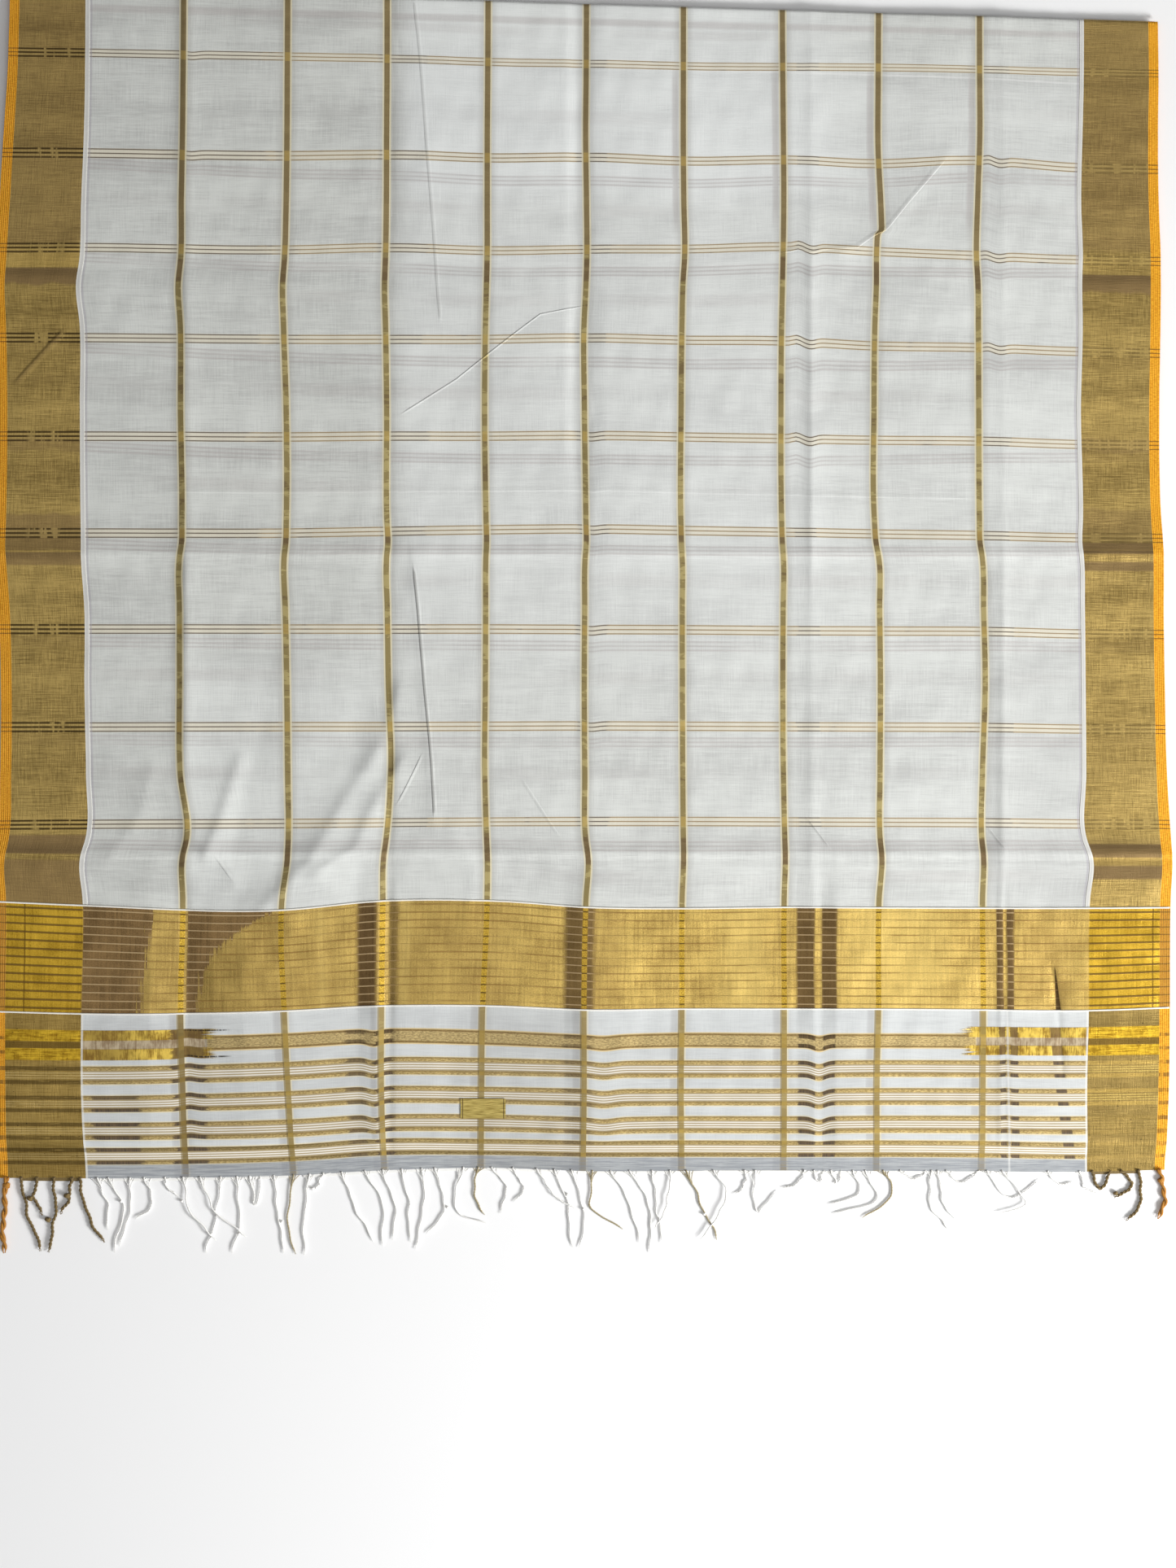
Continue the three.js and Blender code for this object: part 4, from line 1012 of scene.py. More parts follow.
def broad_bar(weave, colour, turned_from_light, beads, bright_gold, dark_gold):
    """The gold bar above the groups: whole in the middle, and split in two at its ends."""
    across = weave.across
    distance = abs(weave.down - BROAD_BAR)
    middle = across.between(206, 974, 2.0)
    whole = distance.bar(0.0, 6.8, 0.5) * middle
    colour = weave.mix(whole * 0.92, colour, bright_gold)
    colour = weave.mix(distance.bar(7.0, 0.7) * middle * 0.8, colour, tint(226, 200, 140))
    colour = weave.mix(distance.bar(5.6, 0.9) * middle * 0.7, colour, tint(122, 94, 50))
    blobs = weave.noise(9, 14, 3.0, 55.0, 0.6) * 0.6 + weave.noise(1.6, 14, 2.0, 57.0, 0.6) * 0.4
    inside_tone = weave.mix(blobs.ramp(0.4, 0.6), tint(140, 116, 82), tint(190, 172, 140))
    colour = weave.mix(distance.ramp(5.4, 4.6) * (1 - middle) * 0.95, colour, inside_tone)
    # Painted shade on the bar's edges where its metal turns from the light
    shaded_edges = distance.bar(4.6, 2.0, 0.5) * middle * turned_from_light
    colour = weave.mix(shaded_edges * 0.9, colour, dark_gold)
    split_gold = weave.mix(blobs.ramp(0.38, 0.6), tint(150, 116, 46), tint(240, 206, 96))
    split_gold = weave.mix(across.ramp(140, 112) * 0.5, split_gold, tint(132, 102, 54))
    # Painted shade on the split bar where its metal turns from the light
    split_gold = weave.mix(turned_from_light * 0.85, split_gold, tint(104, 80, 48))
    float_end = across + (weave.noise(60, 1.1, 3.0, 52.0, 0.7) - 0.5) * 50.0
    reach = either(float_end.ramp(214, 206), float_end.ramp(962, 970))
    split = distance.bar(9.0, 5.0, 0.5) * reach
    colour = weave.mix(split, colour, split_gold)
    ticks = distance.bar(12.5, 0.7) * across.between(186, 226, 6.0) * beads.ramp(0.4, 0.5)
    return weave.mix(ticks * 0.9, colour, tint(40, 30, 22)), whole, split


def line_groups(weave, colour, bars, pale, line_gold, grain):
    """The four groups of thin pale lines, each between two gold bars."""
    distance = group_distance(weave.down)
    colour = weave.mix(distance.ramp(5.4, 4.6) * 0.85, colour, tint(166, 144, 96))
    colour = weave.mix(bars * 0.95, colour, line_gold)
    shade = group_distance(weave.down, 1.1).bar(6.5, 0.8) * grain.ramp(0.3, 0.5)
    colour = weave.mix(shade * 0.4, colour, tint(112, 86, 44))
    colour = weave.mix(pale * 0.88, colour, tint(242, 238, 228))
    return weave.mix(distance.bar(9.0, 0.5) * 0.6, colour, tint(232, 216, 168))


def end_stripes(weave, colour, gold, crossing):
    """The warp stripes of the end panel, each with a thin dark line at its left."""
    across = weave.across
    gold_colour = weave.mix(0.6, stripe_colour(weave), tint(156, 132, 70))
    gold_colour = weave.mix(crossing * 0.4, gold_colour, tint(196, 160, 66))
    # Painted shade on the first stripe, in the dark flank of its crease
    gold_colour = weave.mix(across.ramp(210, 200) * 0.6, gold_colour, tint(104, 84, 40))
    colour = weave.mix(gold * 0.92, colour, gold_colour)
    beside = across.repeated(FIRST_STRIPE - 3.4, STRIPE_SPACING).bar(0.0, 0.7)
    beside = beside * across.between(160, 1000)
    return weave.mix(beside * 0.7, colour, tint(122, 104, 62))


def end_tones(weave, colour):
    """The darker hem strip, a painted highlight along a ridge, a stretch of painted shade and the
    pale seams.
    """
    across, down = weave.across, weave.down
    slubby = weave.noise(40, 1.6, 3.0, 56.0, 0.7).ramp(0.4, 0.6)
    hem = down.ramp(1172, 1174) * slubby.blend(0.5, 0.85)
    colour = weave.mix(hem, colour, tint(138, 142, 148))
    # Painted highlight along the ridge of the last long crease
    ridge = (across + (BAND_END - down) * 0.025).bar(1004.3, 1.1, 0.7)
    colour = weave.mix(ridge * 0.4, colour, tint(238, 238, 234))
    # Painted shade over a stretch in the middle
    colour = weave.mix(across.bar(525, 60, 30) * 0.14, colour, tint(96, 90, 76))
    inward = calculate("MINIMUM", across - BORDER_WIDTH, RIGHT_SEAM - across)
    return weave.mix(inward.ramp(2.6, 1.4) * 0.7, colour, tint(234, 232, 224))


def end_field_material():
    """The end panel between the borders."""
    weave = Weave("pallu_end")
    across = weave.across
    colour, slubs, warps = field_ground(weave)
    colour = weave.mix(0.35, colour, tint(204, 208, 214))
    bars, pale = end_masks(weave.down)
    gold, cream, halo = stripe_masks(weave)
    shadow = abs(across.repeated(FIRST_STRIPE - 8.0, STRIPE_SPACING)).ramp(5.0, 2.0)
    shadow = shadow * across.between(150, 1000)
    colour = weave.mix(shadow * 0.35, colour, tint(158, 156, 156))
    colour = weave.mix(halo * 0.2, colour, tint(150, 146, 138))
    colour = weave.mix(cream * 0.6, colour, STRIPE_EDGE)
    grain = weave.noise(3, 1, 3.0, 51.0, 0.7)
    beads = weave.noise(1.6, 60, 2.0, 54.0, 0.7)
    turned_from_light = end_painted_shade(weave)
    bright_gold = weave.mix(grain.ramp(0.4, 0.6), tint(160, 134, 78), tint(214, 188, 122))
    dark_gold = weave.mix(beads.ramp(0.35, 0.65), tint(56, 42, 28), tint(98, 76, 48))
    colour, whole, split = broad_bar(weave, colour, turned_from_light, beads, bright_gold, dark_gold)
    # Painted shade on the lines' gold where the metal turns from the light
    line_gold = weave.mix(turned_from_light * 0.95, bright_gold, dark_gold)
    colour = line_groups(weave, colour, bars, pale, line_gold, grain)
    broad = weave.down.bar(BROAD_BAR, 6.8, 0.5)
    colour = end_stripes(weave, colour, gold, gold * either(bars, broad))
    colour = end_tones(weave, colour)
    metal = either(bars * 0.8, whole * 0.8, split, gold * 0.4) * turned_from_light.blend(1.0, 0.4)
    height = slubs * 0.35 + warps * 0.2 + metal * 0.4
    return weave.finish(colour, metal, metal.blend(0.75, 0.38), height, 0.0005, 0.15)


def end_border_material():
    """The borders beside the end panel."""
    weave = Weave("pallu_end_border")
    down = weave.down
    colour, slubs, flecks = border_ground(weave, 61.0)
    right = weave.across.ramp(500, 600)
    colour = weave.mix(right * 0.62, colour, tint(112, 92, 46))
    colour = weave.mix((1 - right) * 0.4, colour, tint(134, 104, 36))
    bars, pale = end_masks(down)
    distance = abs(down - BROAD_BAR)
    bright_bars = distance.bar(8.6, 5.4, 0.6)
    blobs = weave.noise(24, 1.4, 3.0, 55.0, 0.7) * 0.6 + weave.noise(6, 9, 3.0, 58.0, 0.6) * 0.4
    yellow = weave.mix(blobs.ramp(0.38, 0.6), tint(152, 114, 14), tint(222, 182, 50))
    colour = weave.mix(bright_bars * 0.92, colour, yellow)
    colour = weave.mix(distance.ramp(3.4, 2.6) * 0.8, colour, tint(112, 86, 30))
    left = 1 - right
    lines = either(bars * 0.8, pale * 0.85)
    bar_colour = weave.mix(left, tint(198, 166, 84), tint(74, 56, 22))
    fine_colour = weave.mix(left, tint(220, 192, 104), tint(206, 180, 118))
    line_colour = weave.mix(pale, bar_colour, fine_colour)
    broken = weave.noise(24, 2.0, 3.0, 62.0, 0.7).ramp(0.3, 0.45)
    fading = 1 - right * down.ramp(1118, 1128) * 0.75
    broken = broken * fading * right.blend(0.85, 0.5)
    colour = weave.mix(lines * broken, colour, line_colour)
    specks = weave.noise(4, 2.4, 1.0, 63.0).ramp(0.73, 0.77)
    colour = weave.mix(specks * 0.8, colour, tint(52, 38, 20))
    height = slubs * 0.5 + flecks * 0.5
    return weave.finish(colour, 0.7, 0.45, height, 0.0006)


def under_material():
    """The hidden layers, of which only the edges show."""
    weave = Weave("under_cloth")
    across = weave.across
    colour, slubs, _ = field_ground(weave)
    colour = weave.mix(0.25, colour, tint(170, 170, 168))
    threads, _ = weft_masks(weave)
    gold, _, _ = stripe_masks(weave)
    colour = weave.mix(threads * 0.7, colour, THREAD_DARK)
    colour = weave.mix(gold * 0.9, colour, STRIPE_MIDDLE)
    border = beyond_seams(across)
    border_colour, _, _ = border_ground(weave, 71.0)
    colour = weave.mix(border, colour, border_colour)
    edge = either(
        across.ramp(SELVEDGE_WIDTH + 0.5, SELVEDGE_WIDTH - 0.5),
        across.ramp(CLOTH_WIDTH - SELVEDGE_WIDTH - 0.5, CLOTH_WIDTH - SELVEDGE_WIDTH + 0.5))
    colour = weave.mix(edge, colour, SELVEDGE_YELLOW)
    metal = border * (1 - edge) * 0.7
    return weave.finish(colour, metal, metal.blend(0.75, 0.45), slubs, 0.0004, 0.1)


def yarn_material(name, dark, light, metallic=0.0, roughness=0.7):
    """Twisted yarn, uneven along its length."""
    material = bpy.data.materials.new(name)
    material.use_nodes = True
    tree = material.node_tree
    shader = tree.nodes["Principled BSDF"]
    noise = tree.nodes.new("ShaderNodeTexNoise")
    noise.inputs["Scale"].default_value = 900.0
    noise.inputs["Detail"].default_value = 2.0
    place = tree.nodes.new("ShaderNodeTexCoord")
    tree.links.new(place.outputs["Object"], noise.inputs["Vector"])
    mixed = tree.nodes.new("ShaderNodeMix")
    mixed.data_type = "RGBA"
    tree.links.new(noise.outputs[0], mixed.inputs[0])
    mixed.inputs[6].default_value = dark
    mixed.inputs[7].default_value = light
    tree.links.new(mixed.outputs[2], shader.inputs["Base Color"])
    shader.inputs["Metallic"].default_value = metallic
    shader.inputs["Roughness"].default_value = roughness
    shader.inputs["Sheen Weight"].default_value = 0.2
    return material


# The woven stretches of the top layer
LONG_CREASES = (187.0, 394.0, 592.0, 815.0, 1001.0)
CROSS_CREASES = (280.0, 566.0, 869.0)
ROLL_START = -ROLL_RADIUS * ROLL_ANGLE
roll_lines = np.linspace(ROLL_START, 0, 7)[:-1]
body_down = np.concatenate([roll_lines, grid_lines(0, BODY_END, 3.9, CROSS_CREASES, 14, 2.0)])
band_down = grid_lines(BODY_END, BAND_END, 2.6)
end_down = grid_lines(BAND_END, CLOTH_END, 2.0)
field_across = grid_lines(BORDER_WIDTH, RIGHT_SEAM, 4.0, LONG_CREASES, 14, 2.0)
pallu_across = grid_lines(BORDER_WIDTH, RIGHT_SEAM, 2.0)
left_across = grid_lines(SELVEDGE_WIDTH, BORDER_WIDTH, 3.0)
right_across = grid_lines(RIGHT_SEAM, CLOTH_WIDTH - SELVEDGE_WIDTH, 3.0)
left_edge = np.linspace(0, SELVEDGE_WIDTH, 5)
right_edge = CLOTH_WIDTH - left_edge[::-1]
whole_down = np.concatenate([body_down, band_down[1:], end_down[1:]])
band_across = np.concatenate([left_across[:-1], pallu_across, right_across[1:]])

border_cloth = body_border_material()
end_border_cloth = end_border_material()
selvedge_cloth = selvedge_material()
field_cloth = body_field_material()
end_cloth = end_field_material()
band_cloth = band_material()

STRETCHES = [
    ("body_field", field_across, body_down, field_cloth, "field_cloth"),
    ("body_border_left", left_across, body_down, border_cloth, "border_cloth"),
    ("body_border_right", right_across, body_down, border_cloth, "border_cloth"),
    ("selvedge_left", left_edge, whole_down, selvedge_cloth, "selvedge_cloth"),
    ("selvedge_right", right_edge, whole_down, selvedge_cloth, "selvedge_cloth"),
    ("pallu_band", band_across, band_down, band_cloth, "band_cloth"),
    ("pallu_end_field", pallu_across, end_down, end_cloth, "field_cloth"),
    ("pallu_end_border_left", left_across, end_down, end_border_cloth, "border_cloth"),
    ("pallu_end_border_right", right_across, end_down, end_border_cloth, "border_cloth"),
]
for node, across_lines, down_lines, material, slot in STRETCHES:
    piece = cloth_sheet("woven_" + node, across_lines, down_lines, material)
    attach(piece, "root")
    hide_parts(node)
    size = (across_lines[-1] - across_lines[0], down_lines[-1] - down_lines[0])
    size[0] / 1000
    size[1] / 1000


# How far each hidden layer stands back from the cloth's outline, from the highest layer to the
# lowest: at its left, its right, its top and its end
LAYER_EDGES = [
    (4.0, 4.0, 5.0, 3.0), (3.0, 5.5, 5.0, 0.0), (5.0, 3.5, 4.0, 2.0), (2.5, 5.0, 2.0, 4.0),
    (4.5, 3.0, 1.0, 1.0),
]
FOLD_RADIUS = LAYER_HEIGHT / 2


def hidden_row(layer, share, down):
    """Points from side to side of a hidden layer, at shares of its width."""
    left, right, _, _ = LAYER_EDGES[layer]
    squeezed = left + share * (CLOTH_WIDTH - left - right)
    y = laid_down(squeezed, np.full_like(squeezed, down))
    height = LAYER_HEIGHT * (len(LAYER_EDGES) - layer - 0.5)
    return np.stack([laid_across(squeezed, y), y, np.full_like(y, height)], axis=-1)


def hidden_fold(before, after, outward):
    """Rows of points round the fold between two layers, each with its way along the cloth."""
    for turn in np.linspace(0, math.pi, 7)[1:-1]:
        row = before + (after - before) * (1 - math.cos(turn)) / 2
        row[:, 1] += outward * FOLD_RADIUS * math.sin(turn)
        yield row, FOLD_RADIUS * turn


def under_layers():
    """The hidden cloth as one ribbon, folded to and fro, with each layer's edges set apart."""
    sides = [0, 5, 10.5, 11, 46, 82]
    across = np.concatenate([sides, np.linspace(90, 1082, 63), CLOTH_WIDTH - np.array(sides)[::-1]])
    share = across / CLOTH_WIDTH
    rows, woven = [], []
    travelled = 0.0
    for layer, (_, _, top, end) in enumerate(LAYER_EDGES):
        places = grid_lines(top, PILE_END - end, 16.0)
        if layer % 2:
            places = places[::-1]
        if layer:
            first = hidden_row(layer, share, places[0])
            for row, way in hidden_fold(rows[-1], first, 1 if layer % 2 else -1):
                rows.append(row)
                woven.append(travelled + way)
            travelled += FOLD_RADIUS * math.pi
        for down in places:
            rows.append(hidden_row(layer, share, down))
            woven.append(travelled + abs(down - places[0]))
        travelled += abs(places[-1] - places[0])
    points = np.array(rows)
    places = np.stack(
        [points[..., 0] - CENTRE_ACROSS, CENTRE_DOWN - points[..., 1], points[..., 2]], axis=-1)
    along = np.array(woven)
    grid = np.stack(np.broadcast_arrays(across[None, :], along[:, None]), axis=-1)
    faces = grid_faces(len(rows), len(across))
    made = make_object(
        "woven_under_layers", places.reshape(-1, 3) / 1000, faces, under_material(),
        grid.reshape(-1, 2))
    return made, travelled / 1000


under, under_length = under_layers()
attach(under, "root")
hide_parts("under_layers")


def sideways(line):
    """Two directions square to a line at each of its points: level, and over it."""
    along = np.gradient(line, axis=0)
    along /= np.linalg.norm(along, axis=1, keepdims=True)
    aside = np.cross(along, np.array([0.0, 0.0, 1.0]))
    aside /= np.maximum(np.linalg.norm(aside, axis=1, keepdims=True), 1e-9)
    return aside, np.cross(aside, along)


def tube(points, radius, sides, first):
    """Points and faces of a closed round tube along a line of points, in metres."""
    aside, over = sideways(points)
    radius = np.broadcast_to(radius, (len(points),))
    angles = np.arange(sides) * 2 * math.pi / sides
    cosines, sines = np.cos(angles)[None, :, None], np.sin(angles)[None, :, None]
    outward = aside[:, None] * cosines + over[:, None] * sines
    ring = points[:, None] + radius[:, None, None] * outward
    vertices = ring.reshape(-1, 3).tolist()
    faces = []
    for step in range(len(points) - 1):
        for side in range(sides):
            following = (side + 1) % sides
            near = first + step * sides
            far = near + sides
            faces.append((near + side, near + following, far + following, far + side))
    faces.append(tuple(first + side for side in reversed(range(sides))))
    end = first + (len(points) - 1) * sides
    faces.append(tuple(end + side for side in range(sides)))
    return vertices, faces


def top_points(across, down, lift):
    """Points on the top layer, lifted in metres."""
    points = place_top(np.asarray(across, float), np.asarray(down, float))
    points[..., 2] += lift
    return points


def piping():
    """Raised white weft cords at both edges of the band."""
    vertices, faces = [], []
    for down in (BODY_END, BAND_END):
        across = grid_lines(1.0, CLOTH_WIDTH - 1.0, 3.0)
        line = top_points(across, np.full_like(across, down), 0.0004)
        more, sides = tube(line, 0.0009, 6, len(vertices))
        vertices += more
        faces += sides
    return make_object("piping_cords", vertices, faces, yarn_material(
        "white_cord", tint(226, 222, 212), tint(250, 248, 240)))


cords = piping()
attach(cords, "root")


# Fringe strands: root, bend and tip across the cloth, with the bend's and the tip's distance
# beyond the cloth's end, and 1 where a strand is lifted over its neighbours
LEFT_TASSEL = [(6, 3, 34, 3, 75, 0)]
LEFT_CORDS = [
    (20, 25, 29, 41, 73, 0), (36, 34, 22, 43, 37, 0), (53, 54, 39, 47, 74, 0),
    (71, 68, 19, 60, 36, 0), (79, 86, 34, 103, 64, 0),
]
FIELD_THREADS_1 = [
    (96, 107, 30, 106, 52, 0), (107, 121, 25, 113, 74, 0), (129, 129, 25, 120, 68, 0),
    (143, 151, 27, 135, 41, 0), (164, 168, 11, 177, 19, 0), (182, 189, 32, 216, 63, 1),
    (199, 214, 33, 247, 60, 1), (220, 216, 35, 205, 76, 0), (236, 239, 43, 232, 76, 0),
    (249, 255, 28, 261, 1.6, 0), (273, 278, 38, 282, 78, 0), (293, 287, 37, 294, 79, 0),
]
FIELD_THREADS_2 = [
    (309, 304, 38, 303, 80, 0), (323, 317, 11, 313, 17, 0), (341, 353, 32, 373, 71, 0),
    (364, 382, 36, 382, 76, 0), (382, 394, 38, 393, 70, 0), (401, 408, 33, 409, 73, 0),
    (421, 424, 34, 414, 80, 0), (434, 444, 41, 426, 65, 0), (463, 456, 43, 486, 56, 0),
    (478, 474, 30, 485, 47, 0), (491, 506, 22, 500, 46, 0), (512, 523, 20, 513, 34, 0),
    (536, 553, 24, 576, 38, 1), (554, 567, 34, 572, 77, 0),
]
FIELD_THREADS_3 = [
    (571, 584, 41, 579, 77, 0), (592, 592, 37, 624, 58, 0), (610, 631, 37, 639, 72, 0),
    (629, 651, 40, 648, 82, 0), (652, 657, 37, 662, 72, 0), (670, 669, 23, 655, 60, 1),
    (686, 701, 33, 718, 69, 0), (713, 726, 21, 701, 68, 1), (745, 745, 13, 735, 24, 0),
    (755, 758, 41, 777, 20, 0), (805, 797, 13, 783, 17, 0), (814, 819, 11, 825, 1.6, 0),
    (831, 837, 12, 842, 1.6, 0),
]
FIELD_THREADS_4 = [
    (853, 859, 21, 828, 34, 0), (865, 877, 26, 833, 43, 0), (883, 893, 20, 864, 47, 0),
    (900, 914, 8, 928, 1.6, 0), (932, 931, 34, 950, 59, 0), (938, 944, 31, 954, 48, 0),
    (946, 962, 11, 979, 1.6, 0), (987, 1009, 26, 1042, 8, 0), (1002, 1025, 32, 1000, 42, 1),
    (1048, 1059, 12, 1076, 10, 0), (1080, 1086, 16, 1098, 23, 0),
]
RIGHT_CORDS = [
    (1092, 1101, 17, 1110, 1.6, 0), (1121, 1133, 15, 1114, 26, 0), (1139, 1141, 32, 1127, 50, 0),
]
RIGHT_TASSEL = [(1159, 1165, 22, 1160, 49, 0)]
GOLD_ROOTS = (293, 478, 592, 686, 883)

END_ACROSS = grid_lines(0, CLOTH_WIDTH, 8.0)
END_DOWN_LAID = laid_down(END_ACROSS, np.full_like(END_ACROSS, CLOTH_END))
END_ACROSS_LAID = laid_across(END_ACROSS, END_DOWN_LAID)


def beyond_end(across, out, height):
    """A place beyond the cloth's end, out along the floor, in metres."""
    end = np.interp(across, END_ACROSS_LAID, END_DOWN_LAID)
    return np.array([across - CENTRE_ACROSS, CENTRE_DOWN - end - out, height]) / 1000


def strand_line(strand, radius, random, steps):
    """Centre line of a strand, which wavers a little between its root, bend and tip."""
    root, bend, bend_out, tip, tip_out, lifted = strand
    resting = 0.5 + radius
    height = resting + 2.0 * lifted
    returns = tip_out < 3
    stops = np.array([
        beyond_end(root, -1.0, resting + 0.5),
        beyond_end(bend, bend_out, height),
        beyond_end(tip, -1.0 if returns else tip_out, resting + 0.5 if returns else height),
    ])
    lengths = np.concatenate([[0], np.cumsum(np.linalg.norm(np.diff(stops, axis=0), axis=1))])
    places = np.linspace(0, lengths[-1], steps)
    line = np.stack([through(lengths, stops[:, axis], places) for axis in range(3)], axis=-1)
    share = places / lengths[-1]
    waver = np.sin(share * math.pi * random.uniform(2.0, 4.5) + random.uniform(0, 6))
    waver += 0.5 * np.sin(share * math.pi * random.uniform(6, 9) + random.uniform(0, 6))
    line[:, 0] += 0.0011 * waver * np.minimum(1, share * 5)
    line[:, 2] = np.maximum(line[:, 2], 0.0003 + radius / 1000)
    return line


def add_strand(vertices, faces, line, radius, twist):
    """Two plies wound about each other along a line, and a small tuft at the tip."""
    aside, over = sideways(line)
    travelled = np.concatenate([[0], np.cumsum(np.linalg.norm(np.diff(line, axis=0), axis=1))])
    angle = travelled * 2 * math.pi / twist
    taper = np.clip((travelled[-1] - travelled) / 0.006, 0.35, 1)
    for ply in (0, math.pi):
        offset = aside * np.cos(angle + ply)[:, None] + over * np.sin(angle + ply)[:, None]
        points = line + offset * radius * 0.48
        more, made = tube(points, radius * 0.56 * taper, 5, len(vertices))
        vertices += more
        faces += made


def add_roots(vertices, faces, line, root, random):
    """Fine warp ends that run in from both sides and join a strand below the cloth's end."""
    for side in (-1, 1):
        for share in (0.55, 1.0):
            apart = side * share * random.uniform(4.5, 7.5)
            joined = line[int(random.integers(5, 11))]
            start = beyond_end(root + apart, -0.5, 1.2)
            middle = (start + joined) / 2 + np.array([-side * 0.0012, 0.0, 0.0003])
            places = np.linspace(0, 1, 7)
            stops = np.array([start, middle, joined])
            points = np.stack(
                [through([0, 0.5, 1], stops[:, axis], places) for axis in range(3)], axis=-1)
            more, made = tube(points, 0.00038, 4, len(vertices))
            vertices += more
            faces += made


def add_knot(vertices, faces, centre, radius, random):
    """A small overhand knot: a short fat coil."""
    turns = np.linspace(0, 2 * math.pi * 2.25, 30)
    tilt = random.uniform(-0.5, 0.5)
    x = radius * np.cos(turns)
    y = np.linspace(-0.7, 0.7, len(turns)) * radius
    z = radius * np.sin(turns)
    turned_x = x * math.cos(tilt) - y * math.sin(tilt)
    turned_y = x * math.sin(tilt) + y * math.cos(tilt)
    line = np.stack([turned_x, turned_y, z], axis=-1)
    more, made = tube(line * 0.75 + centre, radius * 0.52, 6, len(vertices))
    vertices += more
    faces += made


# Knots: across, and beyond the cloth's end, with each one's radius
KNOTS = {
    "tassel_left": [(5.5, 7, 3.2)],
    "fringe_left": [(29, 20, 2.6), (47, 41, 2.6), (66, 17, 2.6)],
    "fringe_field_1": [(120, 23, 1.4), (181, 23, 1.4), (216, 38, 1.4), (210, 57, 1.4), (238, 57, 1.4),
                       (281, 46, 1.4)],
    "fringe_field_2": [(312, 14, 1.4), (447, 39, 1.4)],
    "fringe_field_3": [(567, 24, 1.4), (583, 38, 1.4), (704, 43, 1.4)],
    "fringe_field_4": [],
    "fringe_right": [(1116, 22, 2.0)],
    "tassel_right": [(1161, 10, 2.6)],
}

FRINGES = [
    ("tassel_left", LEFT_TASSEL, 3.0, "selvedge_cloth"),
    ("fringe_left", LEFT_CORDS, 1.8, "cord"),
    ("fringe_field_1", FIELD_THREADS_1, 1.05, "thread"),
    ("fringe_field_2", FIELD_THREADS_2, 1.05, "thread"),
    ("fringe_field_3", FIELD_THREADS_3, 1.05, "thread"),
    ("fringe_field_4", FIELD_THREADS_4, 1.05, "thread"),
    ("fringe_right", RIGHT_CORDS, 1.8, "cord"),
    ("tassel_right", RIGHT_TASSEL, 2.6, "selvedge_cloth"),
]
YARNS = {
    "selvedge_cloth": yarn_material("yellow_yarn", tint(128, 80, 10), tint(200, 136, 28)),
    "cord": yarn_material("border_yarn", tint(70, 54, 26), tint(148, 124, 70), 0.2),
    "thread": yarn_material("field_yarn", tint(226, 225, 220), tint(253, 252, 249)),
}
gold_yarn = yarn_material("stripe_yarn", tint(128, 112, 76), tint(198, 186, 150), 0.1, 0.6)

# Strand thicknesses in millimetres, and the lengths in metres in which their plies turn once
FINE_RADIUS = 1.2
CORD_RADIUS = 2.4
FINE_TWIST = 0.0058
CORD_TWIST = 0.0085
TASSEL_TWIST = 0.024


def ply_twist(radius):
    """The length in metres of one turn of a strand's two plies."""
    if radius < FINE_RADIUS:
        return FINE_TWIST
    return CORD_TWIST if radius < CORD_RADIUS else TASSEL_TWIST


def add_backing(vertices, faces, strands):
    """The cloth's last picks, which hold the roots of a group."""
    roots = [strand[0] for strand in strands]
    tips = [strand[3] for strand in strands]
    across = np.arange(min(roots + tips), max(roots) + 1, 1.0)
    start = len(vertices)
    for out, height in ((-0.6, 1.2), (1.2, 1.3), (2.8, 0.9)):
        vertices += [beyond_end(place, out, height).tolist() for place in across]
    faces += [tuple(face) for face in grid_faces(3, len(across), start).tolist()]


def fringe(node, strands, radius, yarn):
    """One group of strands with its roots, knots and backing; a few of its roots are gold."""
    random = np.random.default_rng(len(node) * 101 + len(strands))
    vertices, faces, gold_faces = [], [], []
    for strand in strands:
        before = len(faces)
        line = strand_line(strand, radius, random, 44)
        add_strand(vertices, faces, line, radius / 1000, ply_twist(radius))
        if radius < FINE_RADIUS:
            add_roots(vertices, faces, line, strand[0], random)
        if strand[0] in GOLD_ROOTS:
            gold_faces += range(before, len(faces))
    for across, out, size in KNOTS[node]:
        add_knot(vertices, faces, beyond_end(across, out, size * 0.9 + 0.6), size / 1000, random)
    add_backing(vertices, faces, strands)
    piece = make_object("yarn_" + node, vertices, faces, yarn)
    piece.data.materials.append(gold_yarn)
    for index in gold_faces:
        piece.data.polygons[index].material_index = 1
    return piece


for node, strands, radius, slot in FRINGES:
    piece = fringe(node, strands, radius, YARNS[slot])
    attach(piece, "root")
    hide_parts(node)


# The label: a satin strip, bare, stitched at its two short ends
LABEL_ACROSS = 483.0
LABEL_DOWN = 1123.0
LABEL_WIDTH = 45.0
LABEL_HEIGHT = 20.0


def satin_material():
    """The bare label's satin, with its stitches at both short ends."""
    weave = Weave("satin_label")
    floats = weave.noise(12, 0.6, 2.0, 81.0)
    colour = weave.mix(floats.ramp(0.3, 0.7), tint(142, 122, 58), tint(212, 190, 112))
    stitches = abs(weave.across - LABEL_ACROSS).bar(20.5, 0.5)
    colour = weave.mix(stitches * 0.8, colour, tint(70, 52, 24))
    rims = abs(weave.down - LABEL_DOWN).bar(9.6, 0.5)
    colour = weave.mix(rims * 0.4, colour, tint(120, 92, 40))
    return weave.finish(colour, 0.5, 0.4, floats, 0.0002)


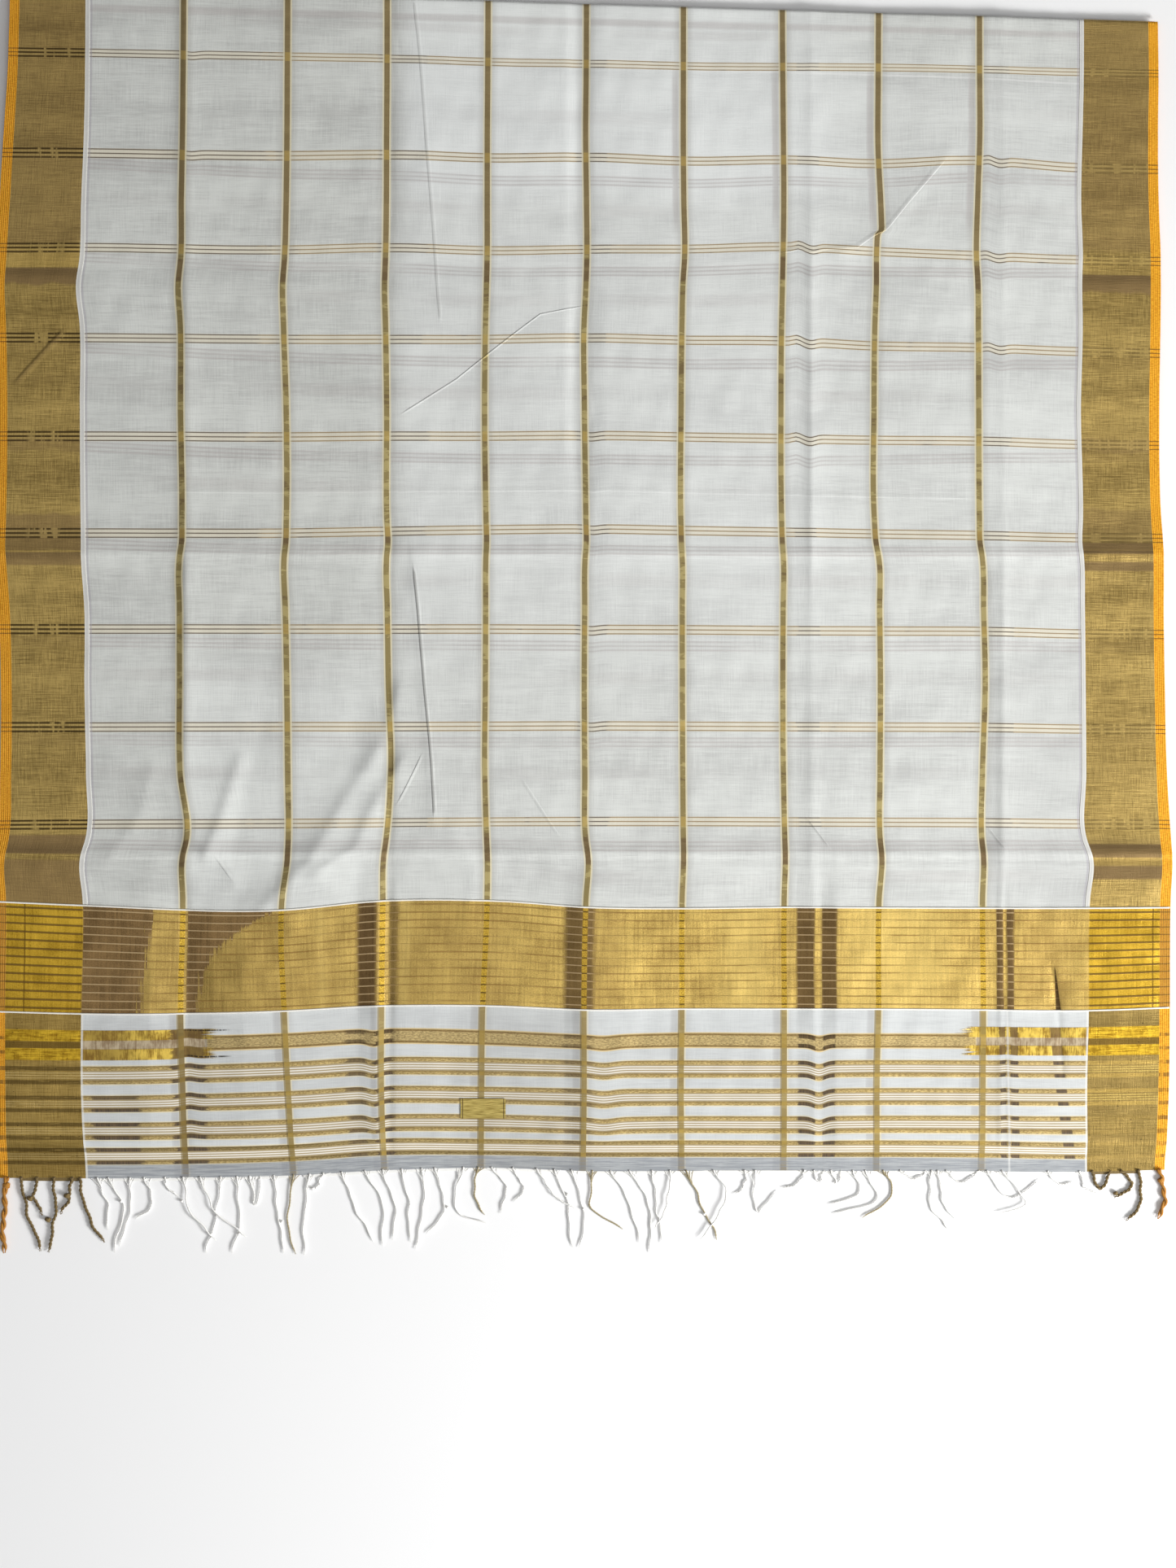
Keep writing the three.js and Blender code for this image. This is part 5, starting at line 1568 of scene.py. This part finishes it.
def label():
    """Satin label, laid on the end panel."""
    across = LABEL_ACROSS + np.linspace(-0.5, 0.5, 46) * LABEL_WIDTH
    down = LABEL_DOWN + np.linspace(-0.5, 0.5, 21) * LABEL_HEIGHT
    grid_down, grid_across = np.meshgrid(down, across, indexing="ij")
    places = np.stack([grid_across - CENTRE_ACROSS, CENTRE_DOWN - grid_down], axis=-1)
    height = TOP_HEIGHT + 1.3 + 0.8 * relief(grid_across, grid_down)
    points = np.concatenate([places, height[..., None]], axis=-1).reshape(-1, 3) / 1000
    woven = np.stack([grid_across, grid_down], axis=-1).reshape(-1, 2)
    return make_object("satin_label", points, grid_faces(21, 46), satin_material(), woven)


tag = label()
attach(tag, "root")
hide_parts("label")

# The floor, the lights and the camera
bpy.ops.mesh.primitive_plane_add(size=14, location=(0, 0, -0.0002))
floor = bpy.context.object
floor.name = "floor"
floor_material = bpy.data.materials.new("pale_floor")
floor_material.use_nodes = True
floor_shader = floor_material.node_tree.nodes["Principled BSDF"]
floor_shader.inputs["Base Color"].default_value = (0.93, 0.93, 0.93, 1)
floor_shader.inputs["Roughness"].default_value = 0.9
floor_shader.inputs["Specular IOR Level"].default_value = 0.0
floor.data.materials.append(floor_material)

world = bpy.data.worlds.new("studio")
bpy.context.scene.world = world
world.use_nodes = True
world.node_tree.nodes["Background"].inputs["Color"].default_value = (1.0, 1.0, 1.0, 1)
world.node_tree.nodes["Background"].inputs["Strength"].default_value = 0.16


def area_light(name, place, target, size, power):
    """A white rectangular light that faces its target."""
    data = bpy.data.lights.new(name, "AREA")
    data.shape = "RECTANGLE"
    data.size, data.size_y = size
    data.energy = power
    made = bpy.data.objects.new(name, data)
    made.location = place
    from_to = np.array(target) - np.array(place)
    direction = from_to / np.linalg.norm(from_to)
    made.rotation_euler = (
        math.acos(-direction[2]), 0, math.atan2(direction[1], direction[0]) - math.pi / 2)
    bpy.context.scene.collection.objects.link(made)


area_light("key", (2.5, -1.75, 1.75), (0, -0.1, 0), (1.0, 1.0), 140)
area_light("overhead", (0.1, -0.5, 5.5), (0.1, -0.5, 0), (4.4, 5.0), 60)
area_light("right_panel", (4.2, -1.6, 5.0), (0, -0.1, 0), (2.2, 5.0), 60)

camera_data = bpy.data.cameras.new("camera")
camera_data.lens = 85
camera_data.sensor_width = 36
camera_data.clip_end = 50
camera = bpy.data.objects.new("camera", camera_data)
camera.location = (0.0052, -0.1641, 3.710)
bpy.context.scene.collection.objects.link(camera)
bpy.context.scene.camera = camera
bpy.context.scene.view_settings.view_transform = "Standard"
